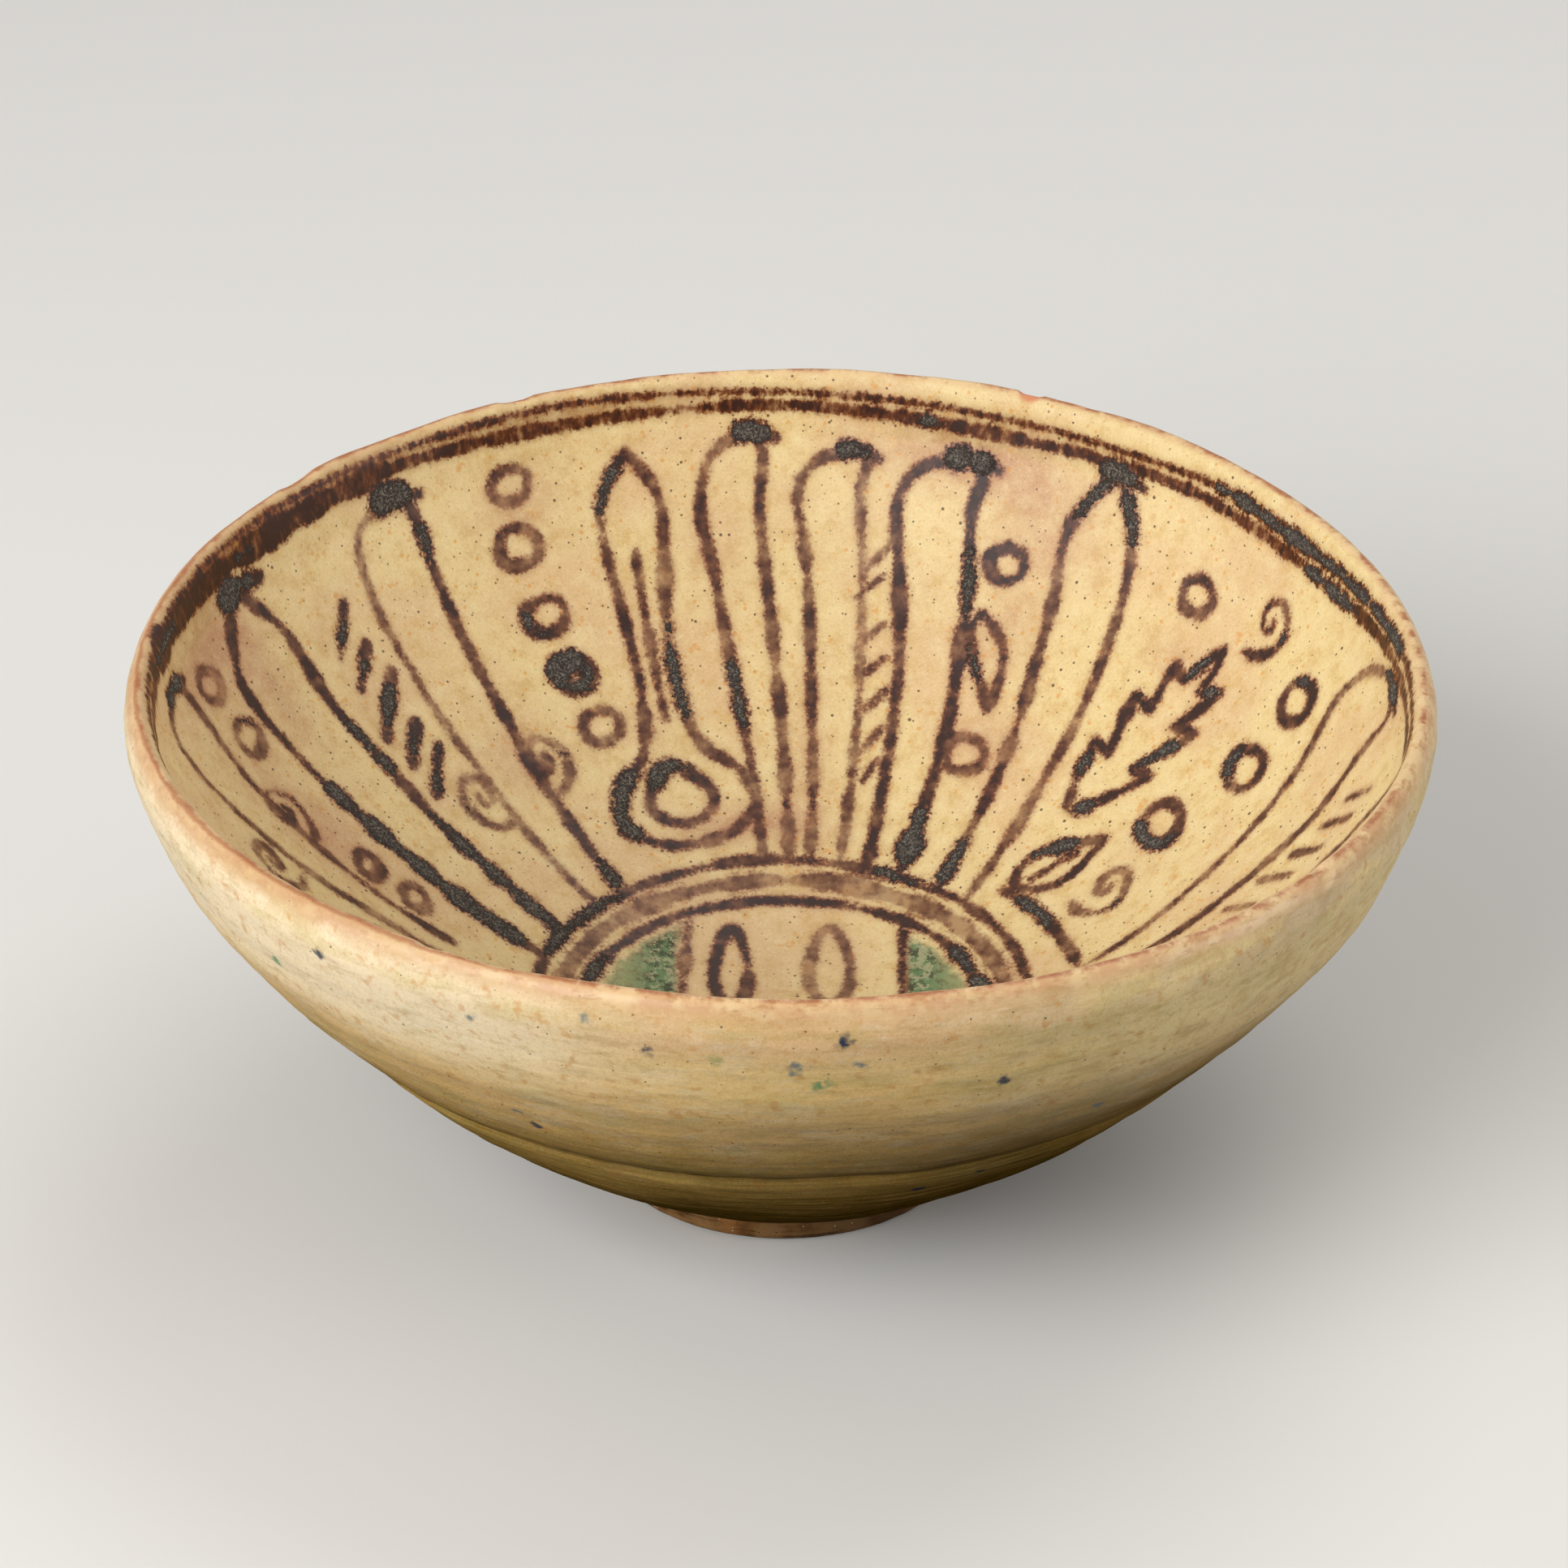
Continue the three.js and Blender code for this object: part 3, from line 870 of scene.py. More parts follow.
class Value:
    """A node's output, with Python's operators for shader and geometry maths."""

    def __init__(self, graph: "Graph", socket: bpy.types.NodeSocket) -> None:
        """Wraps one output socket of a graph."""
        self.graph = graph
        self.socket = socket

    def __add__(self, other: "Value | float") -> "Value":
        """self + other."""
        return self.graph.math("ADD", self, other)

    def __sub__(self, other: "Value | float") -> "Value":
        """self - other."""
        return self.graph.math("SUBTRACT", self, other)

    def __rsub__(self, other: "Value | float") -> "Value":
        """other - self."""
        return self.graph.math("SUBTRACT", other, self)

    def __mul__(self, other: "Value | float") -> "Value":
        """self * other."""
        return self.graph.math("MULTIPLY", self, other)

    def __truediv__(self, other: "Value | float") -> "Value":
        """self / other."""
        return self.graph.math("DIVIDE", self, other)

    def __abs__(self) -> "Value":
        """The size of self."""
        return self.graph.math("ABSOLUTE", self, 0.0)

    __radd__ = __add__
    __rmul__ = __mul__

    def most(self, other: "Value | float") -> "Value":
        """The larger of self and other."""
        return self.graph.math("MAXIMUM", self, other)

    def least(self, other: "Value | float") -> "Value":
        """The smaller of self and other."""
        return self.graph.math("MINIMUM", self, other)

    def swing(self, size: "Value | float") -> "Value":
        """Turns a field that lies round 0.5 into one that swings round 0."""
        return (self - 0.5) * size

    def rise(self, low: float, high: float) -> "Value":
        """Goes softly from 0 where self is low to 1 where it is high, or back if low is the larger."""
        limits = {"Value": self, "From Min": min(low, high), "From Max": max(low, high),
                  "To Min": float(low > high), "To Max": float(high > low)}
        return self.graph.node("ShaderNodeMapRange", {"interpolation_type": "SMOOTHSTEP"}, limits)


class Graph:
    """A node tree, with one method that adds any node."""

    def __init__(self, tree: bpy.types.NodeTree) -> None:
        """Starts from an empty tree."""
        self.tree = tree
        tree.nodes.clear()

    def add(self, kind: str, settings: dict[str, Any] | None = None,
            values: dict[int | str, Any] | None = None) -> bpy.types.Node:
        """Adds a node.

        Args:
            kind: the node's type.
            settings: its properties, set before its sockets.
            values: what each input socket holds or is linked from, by name or number.

        Returns:
            The node.
        """
        node = self.tree.nodes.new(kind)
        for name, setting in (settings or {}).items():
            setattr(node, name, setting)
        for key, value in (values or {}).items():
            self.feed(node.inputs[key], value)
        return node

    def node(self, kind: str, settings: dict[str, Any] | None = None,
             values: dict[int | str, Any] | None = None, output: int | str = 0) -> Value:
        """Adds a node and gives one of its outputs, by name or number."""
        return Value(self, self.add(kind, settings, values).outputs[output])

    def feed(self, socket: bpy.types.NodeSocket, value: Any) -> None:
        """Links a value to an input socket, or sets the number or colour that it holds."""
        if isinstance(value, Value):
            self.tree.links.new(value.socket, socket)
        elif socket.type == "RGBA":
            socket.default_value = (*value[:3], 1.0)
        else:
            socket.default_value = value

    def math(self, operation: str, first: Value | float, second: Value | float) -> Value:
        """Adds a Math node."""
        return self.node("ShaderNodeMath", {"operation": operation}, {0: first, 1: second})

    def vector(self, operation: str, first: Any, second: Any, output: int = 0) -> Value:
        """Adds a Vector Math node."""
        return self.node("ShaderNodeVectorMath", {"operation": operation}, {0: first, 1: second}, output)

    def scaled(self, vector: Value, size: Value | float) -> Value:
        """Makes a vector longer or shorter."""
        return self.node("ShaderNodeVectorMath", {"operation": "SCALE"}, {"Vector": vector, "Scale": size})

    def combine(self, x: Any, y: Any, z: Any) -> Value:
        """Makes a vector of three numbers."""
        return self.node("ShaderNodeCombineXYZ", values={"X": x, "Y": y, "Z": z})

    def parts(self, vector: Value) -> tuple[Value, Value, Value]:
        """Gives a vector's three numbers."""
        split = self.add("ShaderNodeSeparateXYZ", values={"Vector": vector})
        return Value(self, split.outputs[0]), Value(self, split.outputs[1]), Value(self, split.outputs[2])


class ShaderGraph(Graph):
    """The nodes of one material, with places measured in millimetres."""

    def __init__(self, name: str) -> None:
        """Makes an empty material."""
        self.material = bpy.data.materials.new(name)
        self.material.use_nodes = True
        super().__init__(self.material.node_tree)
        where = self.node("ShaderNodeTexCoord", output="Object")
        self.place = self.vector("MULTIPLY", where, TO_MM)
        self.x, _, self.height = self.parts(self.place)
        flat = self.vector("MULTIPLY", self.place, (1.0, 1.0, 0.0))
        self.outward = self.node("ShaderNodeVectorMath", {"operation": "NORMALIZE"}, {0: flat})

    def attribute(self, name: str) -> Value:
        """Reads one of the mesh's own numbers."""
        return self.node("ShaderNodeAttribute", {"attribute_name": name}, output="Fac")

    def noise(self, size: float, seed: int, detail: float = 2.0, roughness: float = 0.5,
              place: Value | None = None) -> Value:
        """Makes an irregular field between 0 and 1, mostly near 0.5.

        Args:
            size: the breadth of its patches, in mm.
            seed: shifts the field so that no two are alike.
            detail, roughness: how much finer variation lies within the patches.
            place: where it is read, or the object's own coordinates.

        Returns:
            The field.
        """
        shift = (13.7 * seed, 7.9 * seed, -5.3 * seed)
        moved = self.vector("ADD", place or self.place, shift)
        return self.node("ShaderNodeTexNoise", values={"Vector": moved, "Scale": 1 / size, "Detail": detail,
                                                       "Roughness": roughness})

    def streaks(self, seed: int, around: float, up: float, inward: float = 0.0, detail: float = 3.0,
                roughness: float = 0.6) -> Value:
        """Makes an irregular field of streaks that run round the axis.

        Args:
            seed: shifts the field.
            around: how many streaks fit in about a sixth of a turn.
            up: how many fit in a millimetre of height.
            inward: how many fit in a millimetre towards the axis.
            detail, roughness: as for noise.

        Returns:
            The field, between 0 and 1.
        """
        level = self.height * up
        if inward:
            level = level + self.vector("DOT_PRODUCT", self.place, self.outward, output=1) * inward
        place = self.vector("ADD", self.scaled(self.outward, around), self.combine(0.0, 0.0, level))
        return self.noise(1.0, seed, detail, roughness, place)

    def specks(self, pitch: float, size: float, seed: int, share: float) -> Value:
        """Scatters round specks.

        Args:
            pitch: the mean distance between them, in mm.
            size: their radius, in mm.
            seed: shifts the pattern.
            share: how many of the places hold a speck, from 0 to 1.

        Returns:
            1 within a speck and 0 elsewhere.
        """
        shift = (3.1 * seed, -11.3 * seed, 6.7 * seed)
        cells = self.add("ShaderNodeTexVoronoi", values={
            "Vector": self.vector("ADD", self.place, shift), "Scale": 1 / pitch})
        luck, spare, _ = self.parts(Value(self, cells.outputs["Color"]))
        radius = (0.45 + spare * 0.8) * (size / pitch)
        inside = (radius - Value(self, cells.outputs["Distance"])) * pitch
        return inside.rise(-0.04, 0.1) * luck.rise(share + 0.02, share - 0.02)

    def mix(self, share: Value | float, low: Any, high: Any) -> Value:
        """Mixes two colours, with all of high where share is 1."""
        return self.node("ShaderNodeMix", {"data_type": "RGBA", "clamp_factor": True},
                         {0: share, 6: low, 7: high}, output=2)

    def layered(self, colour: Any, *layers: tuple[Value, Any]) -> Value:
        """Lays tints over a colour one after another, each as strongly as its share asks."""
        for share, tint in layers:
            colour = self.mix(share, colour, tint)
        return colour

    def finish(self, colour: Any, roughness: Value | float, relief: Value | None = None,
               **fixed: Value | float) -> bpy.types.Material:
        """Ends the material in a Principled surface.

        Args:
            colour, roughness: of the surface.
            relief: its fine relief, in mm.
            fixed: other sockets of the shader by name, with _ for a space.

        Returns:
            The material.
        """
        values: dict[int | str, Any] = {"Base Color": colour, "Roughness": roughness}
        values.update({name.replace("_", " "): value for name, value in fixed.items()})
        if relief is not None:
            values["Normal"] = self.node("ShaderNodeBump", values={"Height": relief, "Distance": MM})
        shader = self.node("ShaderNodeBsdfPrincipled", values=values)
        self.add("ShaderNodeOutputMaterial", values={"Surface": shader})
        return self.material


@dataclass(frozen=True)
class LipFinish:
    """The worn lip, where the glaze drew back in firing and the edge has been handled."""
    cream: Colour = srgb(226, 192, 143)
    blush: Colour = srgb(206, 158, 116)
    tan: Colour = srgb(176, 124, 76)
    rust: Colour = srgb(160, 90, 50)
    clay: Colour = srgb(210, 138, 98)
    half_width: float = 5.2
    inner_share: float = 0.3  # how much narrower the worn zone is on the inside
    line_place: float = 0.2  # the rust line runs a little outside the crest

    def dress(self, graph: ShaderGraph, ground: Value) -> tuple[Value, Value]:
        """Lays the worn lip over a glaze.

        Args:
            graph: the material's nodes.
            ground: the glaze's colour.

        Returns:
            The colour, and how worn each place is.
        """
        crest = graph.attribute("crest")
        bare = graph.attribute("bare")
        streak = graph.streaks(31, 34.0, 1.0, roughness=0.65)
        patch = graph.noise(6.0, 32, 4.0, 0.66)
        away = crest.most(crest * (-1 / self.inner_share)) + streak.swing(2.0) + patch.swing(5.0)
        worn = away.rise(self.half_width, 0.0)
        skin = graph.layered(
            self.cream,
            (patch.rise(0.4, 0.62), self.blush),
            ((streak.rise(0.5, 0.66) * 0.6).most(graph.x.rise(-25.0, -65.0) * 0.34), self.tan),
        )
        line = abs(crest - self.line_place + patch.swing(2.2)).rise(0.75, 0.1)
        strength = (streak.rise(0.26, 0.56) * patch.rise(0.4, 0.56)).most(graph.x.rise(-10.0, -50.0) * 0.8)
        colour = graph.layered(
            ground,
            ((worn * 1.3).least(0.85), skin),
            (line * strength * 0.8, self.rust),
            (bare, self.clay),
        )
        return colour, (worn * 0.3).most(bare)


@dataclass(frozen=True)
class PaintedGlaze:
    """Yellowish lead glaze over cream slip, painted in manganese brown and copper green."""
    cream: Colour = srgb(228, 203, 147)
    rose: Colour = srgb(218, 182, 138)
    ochre: Colour = srgb(206, 170, 106)
    pale: Colour = srgb(236, 220, 170)
    dusk: Colour = srgb(180, 140, 94)
    amber: Colour = srgb(214, 150, 66)
    pit: Colour = srgb(74, 44, 24)
    haze: Colour = srgb(190, 142, 108)
    rim_haze: Colour = srgb(150, 98, 46)
    wash: Colour = srgb(134, 78, 52)
    dark: Colour = srgb(50, 30, 24)
    rim_wash: Colour = srgb(116, 54, 14)
    rim_dark: Colour = srgb(46, 16, 2)
    ash: Colour = srgb(134, 128, 116)
    soot: Colour = srgb(48, 41, 38)
    copper: Colour = srgb(98, 130, 88)
    deep_copper: Colour = srgb(46, 62, 40)
    black_copper: Colour = srgb(32, 34, 26)
    bloom: Colour = srgb(164, 164, 128)
    rim_heights: Place = (77.0, 79.5)  # between which the glaze of the rim lines turns redder
    gloss: float = 0.3
    lip: LipFinish = LipFinish()

    def ground(self, graph: ShaderGraph, grain: Value, holes: Value, at_rim: Value) -> Value:
        """The unpainted glaze: clouds, ochre mottling, fine grain, amber spots and iron specks."""
        cloud = graph.noise(24.0, 1, 3.0, 0.55)
        mottle = graph.noise(3.4, 2, 4.0, 0.68)
        haze = graph.attribute("haze") * (0.1 + mottle * 1.8)
        return graph.layered(
            self.cream,
            (cloud.rise(0.44, 0.66) * 0.7, self.rose),
            (mottle.rise(0.47, 0.7) * 0.6, self.ochre),
            (mottle.rise(0.48, 0.3) * 0.4, self.pale),
            (haze.least(1.0) * 0.85, graph.mix(at_rim, self.haze, self.rim_haze)),
            (grain.rise(0.5, 0.74) * 0.4, self.dusk),
            (grain.rise(0.5, 0.26) * 0.4, self.pale),
            (graph.noise(2.0, 7, 3.0, 0.6).rise(0.62, 0.72) * 0.6, self.amber),
            (graph.specks(1.7, 0.36, 6, 0.4) * 0.6, self.amber),
            (graph.specks(1.15, 0.2, 5, 0.5) * 0.8, self.pit),
            (holes * 0.85, self.pit),
        )

    def inked(self, graph: ShaderGraph, colour: Value, fine: Value, middle: Value, grain: Value,
              at_rim: Value) -> Value:
        """Lays the brown lines: a faint bleed, a bristling wash and a dark heart."""
        ink = graph.attribute("ink")
        bristle = graph.streaks(14, 72.0, 0.35)
        patch = graph.noise(6.5, 13, 2.0)
        brown = graph.mix(at_rim, self.wash, self.rim_wash)
        heart = graph.mix(at_rim, self.dark, self.rim_dark)
        torn = graph.attribute("crust").rise(-1.6, -0.3) * 1.4 + 1.7
        edge = ink + fine.swing(torn) + middle.swing(0.9) + bristle.swing(at_rim * 1.2 + 0.3)
        load = graph.attribute("load") + patch.rise(0.36, 0.64).swing(0.5)
        load = (load + middle.swing(1.4) + bristle.swing(at_rim) * 3.0).most(0.0).least(1.0)
        return graph.layered(
            colour,
            ((ink + middle.swing(1.2)).rise(-1.5, 0.2) * 0.26, brown),
            (edge.rise(-0.55, 0.2) * (0.5 + at_rim * 0.15 + load * 0.6).least(0.97), brown),
            (edge.rise(-0.1, 0.45) * load, heart),
            (edge.rise(0.0, 0.4) * grain.rise(0.56, 0.72) * 0.25, brown),
        )

    def greened(self, graph: ShaderGraph, colour: Value, fine: Value, middle: Value) -> tuple[Value, Value]:
        """Lays the green segments, black beside the lines, lichened in patches and fading outwards."""
        left, right = GREEN_FROM
        beside = (graph.x - right).most(left - graph.x) + middle.swing(2.0)
        edge = graph.attribute("copper") + middle.swing(3.2) + fine.swing(1.8)
        green = edge.rise(-0.9, 1.4) * (beside.rise(9.5, 4.0) * 0.25 + 0.7)
        tone = graph.noise(2.2, 15, 4.0, 0.7)
        lichen = graph.noise(1.6, 16, 4.0, 0.7).rise(0.51, 0.54)
        lichen = lichen * beside.rise(-0.2, 1.2) * beside.rise(7.5, 4.0)
        verdigris = graph.layered(
            self.deep_copper,
            (tone.rise(0.38, 0.56), self.copper),
            (beside.rise(2.4, 0.4) * tone.rise(0.62, 0.46) * 0.9, self.black_copper),
            (lichen * 0.85, self.bloom),
        )
        return graph.mix(green, colour, verdigris), green

    def material(self) -> bpy.types.Material:
        """Builds the material.

        Returns:
            The material, which reads the painting from the mesh's attributes.
        """
        graph = ShaderGraph("painted_glaze")
        fine = graph.noise(0.65, 11, 3.0, 0.64)
        middle = graph.noise(2.2, 12, 3.0, 0.6)
        grain = graph.noise(0.42, 17, 3.0, 0.75)
        holes = graph.specks(2.1, 0.27, 3, 0.5)
        at_rim = graph.height.rise(*self.rim_heights)
        colour, green = self.greened(graph, self.ground(graph, grain, holes, at_rim), fine, middle)
        colour, worn = self.lip.dress(graph, colour)
        colour = self.inked(graph, colour, fine, middle, grain, at_rim)
        crust = graph.attribute("crust") + fine.swing(3.0) + middle.swing(1.8)
        pooled = crust.rise(-0.06, 0.1)
        crystals = graph.noise(0.45, 19, 4.0, 0.8)
        pale = (crystals.rise(0.46, 0.64) * 0.75 + grain.rise(0.54, 0.68) * 0.4) * crust.rise(0.1, 0.7)
        colour = graph.mix(pooled, colour, graph.mix(pale.least(1.0), self.soot, self.ash))
        roughness = 0.4 + middle * 0.16 + pooled * 0.35 + green * 0.2 + worn * 0.2
        relief = graph.noise(1.3, 18, 2.0) * 0.03 + grain * (0.014 + pooled * 0.14 + green * 0.06)
        return graph.finish(colour, roughness, relief - holes * 0.02, Specular_IOR_Level=self.gloss)


@dataclass(frozen=True)
class Stain:
    """A stray spot of blue or green that the kiln left in the outside glaze."""
    angle: float
    height: float
    breadth: float
    colour: Colour


BLUE = srgb(34, 48, 76)
GREY_BLUE = srgb(116, 126, 124)
GREEN = srgb(96, 146, 98)
PALE_GREEN = srgb(176, 168, 110)


@dataclass(frozen=True)
class PlainGlaze:
    """The outside glaze: cream under the lip, olive below, mottled and streaked by the turning wheel, with
    painted shade towards the foot and painted light on the upper left and right.
    """
    cream: Colour = srgb(250, 214, 146)
    honey: Colour = srgb(238, 194, 120)
    straw: Colour = srgb(202, 162, 86)
    olive: Colour = srgb(160, 124, 50)
    # dark olive of the painted shade on the lower wall and above the groove, and of the glaze pooled in the
    # groove
    shade: Colour = srgb(76, 54, 8)
    # milk also lays the painted highlight on the upper left
    milk: Colour = srgb(252, 234, 198)
    # pale lays the painted light on the right side
    pale: Colour = srgb(255, 230, 166)
    moss: Colour = srgb(192, 174, 96)
    amber: Colour = srgb(206, 138, 60)
    rose: Colour = srgb(218, 172, 134)
    lilac: Colour = srgb(206, 178, 158)
    pit: Colour = srgb(84, 58, 34)
    # painted shade where the wall meets the foot, over glaze pooled there
    foot_shade: Colour = srgb(50, 36, 12)
    # cream turns to honey, straw and olive downwards, partly the glaze's own colour and partly painted shade
    honey_heights: Place = (82.0, 60.0)  # between which cream gives way to honey
    straw_heights: Place = (62.0, 44.0)
    olive_heights: Place = (46.0, 22.0)
    matte: float = 0.0
    shine: float = 0.4
    lip: LipFinish = LipFinish()
    stains: tuple[Stain, ...] = (
        Stain(-101.1, 79.2, 0.95, BLUE), Stain(-85.0, 82.8, 1.0, BLUE), Stain(-85.4, 81.4, 0.85, BLUE),
        Stain(-71.2, 71.0, 0.85, BLUE), Stain(-87.2, 73.3, 0.95, GREEN), Stain(-86.2, 73.8, 0.85, GREEN),
        Stain(-89.2, 77.8, 1.0, GREY_BLUE), Stain(-89.0, 76.2, 0.9, GREY_BLUE),
        Stain(-83.8, 77.5, 0.8, GREY_BLUE), Stain(-95.6, 78.4, 1.2, PALE_GREEN),
        Stain(-106.1, 84.0, 0.6, GREY_BLUE), Stain(-116.6, 79.3, 0.9, GREY_BLUE),
        Stain(-131.6, 81.4, 0.8, BLUE), Stain(-138.9, 73.5, 0.8, GREEN), Stain(-115.9, 57.1, 0.8, GREY_BLUE),
        Stain(-114.8, 53.6, 0.8, BLUE), Stain(-73.5, 35.5, 0.9, BLUE), Stain(-66.6, 39.1, 0.7, BLUE),
        Stain(-58.4, 55.5, 0.8, GREY_BLUE), Stain(35.0, 66.0, 0.8, BLUE), Stain(102.0, 58.0, 0.9, GREEN),
        Stain(150.0, 70.0, 0.7, BLUE), Stain(64.0, 74.0, 0.6, GREY_BLUE), Stain(-12.0, 62.0, 0.7, BLUE),
    )

    def stained(self, graph: ShaderGraph, colour: Value, form: BowlForm, wander: Value) -> Value:
        """Adds the stray spots."""
        outside = form.profile[form.reaches > form.crest]
        for stain in self.stains:
            radius = float(np.interp(-stain.height, -outside[:, 1], outside[:, 0]))
            turn = math.radians(stain.angle)
            centre = (radius * math.cos(turn), radius * math.sin(turn), stain.height)
            away = graph.vector("DISTANCE", graph.place, centre, output=1)
            inside = stain.breadth * 1.1 - away + wander.swing(2.2)
            colour = graph.mix(inside.rise(-0.6, 0.45) * 0.9, colour, stain.colour)
        return colour

    def streaked(self, graph: ShaderGraph, broad: Value, streak: Value, patch: Value, grain: Value,
                 painted_shade_and_light_mottle: Value) -> Value:
        """The glaze's colours: bands that darken downwards, partly as painted shade, streaks and milky
        clouds, with a painted highlight on the upper left and painted light on the right side.
        """
        height = graph.height
        # grows downwards, where more olive is laid, partly as painted shade
        lower = height.rise(70.0, 50.0)
        fall = height + broad.swing(26.0) + patch.swing(20.0)
        milky = (patch * 0.5 + streak * 0.5).rise(0.49, 0.6) * height.rise(30.0, 66.0)
        # painted highlight: paler towards the upper left of the wall
        left = graph.x.rise(-8.0, -50.0) * height.rise(62.0, 75.0)
        right = graph.x.rise(10.0, 60.0)
        # painted light: paler on the right side, most towards the top
        painted_right_light = right * height.rise(52.0, 74.0)
        return graph.layered(
            self.cream,
            # darker towards the bottom: partly the glaze's own olive, partly painted shade
            (fall.rise(*self.honey_heights), self.honey),
            (height.rise(76.0, 82.0) * 0.6, self.rose),
            (fall.rise(*self.straw_heights), self.straw),
            (fall.rise(*self.olive_heights), self.olive),
            (streak.rise(0.46, 0.74) * (0.35 + lower * 0.45), self.olive),
            (milky * 0.3, self.milk),
            # the painted highlight on the upper left
            (left * 0.78, self.milk),
            # the painted light on the right side, mottled
            (painted_right_light * (1.0 - painted_shade_and_light_mottle * 0.5), self.pale),
            (painted_right_light * painted_shade_and_light_mottle.rise(0.48, 0.68) * 0.4, self.straw),
            (right * height.rise(76.0, 84.0) * patch.rise(0.36, 0.56) * 0.5, self.lilac),
            (graph.streaks(51, 3.5, 0.12).rise(0.52, 0.66) * 0.35, self.moss),
            (graph.noise(1.1, 44, 3.0, 0.7).rise(0.5, 0.66) * (0.25 + lower * 0.3), self.straw),
            (graph.streaks(52, 14.0, 0.6).rise(0.5, 0.72) * 0.3, self.olive),
            (grain.rise(0.5, 0.72) * (0.2 + lower * 0.3), self.olive),
            (grain.rise(0.5, 0.28) * 0.2, self.milk),
            (graph.noise(2.2, 45, 2.0).rise(0.56, 0.76) * 0.5, self.amber),
        )

    def material(self, form: BowlForm) -> bpy.types.Material:
        """Builds the material.

        Args:
            form: the bowl, which places the stains and the groove.

        Returns:
            The material.
        """
        graph = ShaderGraph("plain_glaze")
        height = graph.height
        broad = graph.streaks(41, 4.6, 0.1)
        streak = graph.streaks(42, 13.0, 0.5, detail=4.0, roughness=0.68)
        scored = graph.streaks(50, 3.6, 1.7)
        patch = graph.streaks(43, 7.5, 0.16, detail=4.0)
        grain = graph.noise(0.4, 49, 2.0, 0.7)
        # mottles how strongly the painted shade and the painted light are laid
        painted_shade_and_light_mottle = graph.noise(5.0, 53, 4.0, 0.65)
        pits = graph.specks(1.5, 0.19, 46, 0.45)
        away = height - form.groove_height + broad.swing(1.6)
        # the groove: a thin dark line of glaze pooled in it, and a broader painted shade on the wall just
        # above it
        groove = abs(away).rise(2.4, 0.2) * streak.rise(0.3, 0.6) * 0.22
        groove = groove + away.rise(9.0, 0.0) * away.rise(-0.6, 0.6) * 0.55
        # painted shade: the wall darkens towards the foot, broken into streaks, and more on the lower right
        low = height.rise(44.0, 14.0) * (0.5 + streak * 0.66)
        low = low + scored.rise(0.4, 0.68) * height.rise(60.0, 36.0) * 0.4
        low = low + graph.x.rise(0.0, 40.0) * height.rise(66.0, 50.0) * 0.5
        colour = graph.layered(
            self.streaked(graph, broad, streak, patch, grain, painted_shade_and_light_mottle),
            # pooled glaze in the groove and the painted shade above it
            (groove * (0.6 + streak * 0.8), self.shade),
            # the painted shade of the lower wall
            (low.least(0.62 + painted_shade_and_light_mottle * 0.56).least(1.0), self.shade),
            (pits * 0.75, self.pit),
        )
        colour = self.stained(graph, colour, form, graph.noise(1.2, 47, 2.0))
        # painted shade just above the foot, over the glaze pooled where the wall meets it
        edge = graph.attribute("edge") + streak.swing(2.4)
        colour = graph.mix(edge.rise(16.0, 6.0) * 0.9, colour, self.foot_shade)
        colour, worn = self.lip.dress(graph, colour)
        shine = height.rise(40.0, 72.0) * (0.8 + worn * 0.8) * self.shine
        relief = graph.noise(1.5, 48, 2.0) * 0.05 + streak * 0.06 + scored * 0.04 + grain * 0.012
        return graph.finish(colour, 0.5 + patch * 0.2, relief - pits * 0.06, Specular_IOR_Level=self.matte,
                            Coat_Weight=shine, Coat_Roughness=0.27)


@dataclass(frozen=True)
class BareClay:
    """Fired buff-red clay, matte, with soil rubbed into its pores."""
    buff: Colour = srgb(146, 108, 66)
    red: Colour = srgb(106, 70, 32)
    soil: Colour = srgb(46, 32, 18)
    orange: Colour = srgb(176, 112, 56)
    pebble: Colour = srgb(206, 188, 150)

    def material(self) -> bpy.types.Material:
        """Builds the material."""
        graph = ShaderGraph("bare_clay")
        cloud = graph.noise(9.0, 61, 4.0, 0.6)
        turned = graph.streaks(62, 1.6, 1.4, 1.1)
        grit = graph.noise(0.5, 63, 3.0, 0.7)
        dirt = (cloud * 0.4 + turned * 0.6).rise(0.46, 0.66)
        pits = graph.specks(1.3, 0.2, 65, 0.5)
        colour = graph.layered(
            self.buff,
            (cloud.rise(0.4, 0.62), self.red),
            (graph.noise(16.0, 64, 2.0).rise(0.56, 0.68) * 0.7, self.orange),
            # darker towards the right of the foot, besides the soil in its pores
            ((dirt * 0.8).most(graph.x.rise(-2.0, 16.0) * 0.55), self.soil),
            (pits * 0.8, self.soil),
            (graph.specks(3.5, 0.2, 66, 0.4) * 0.6, self.pebble),
        )
        relief = grit * 0.12 + turned * 0.1 - pits * 0.12
        return graph.finish(colour, 0.86 + grit * 0.1, relief, Specular_IOR_Level=0.15)


@dataclass(frozen=True)
class Slip:
    """White slip under the glaze, matte and a little granular."""
    white: Colour = srgb(236, 222, 192)
    stained: Colour = srgb(214, 188, 148)

    def material(self) -> bpy.types.Material:
        """Builds the material."""
        graph = ShaderGraph("slip")
        cloud = graph.noise(5.0, 81, 3.0, 0.6)
        grain = graph.noise(0.4, 82, 2.0, 0.6)
        colour = graph.mix(cloud.rise(0.4, 0.65), self.white, self.stained)
        return graph.finish(colour, 0.85, grain * 0.06)


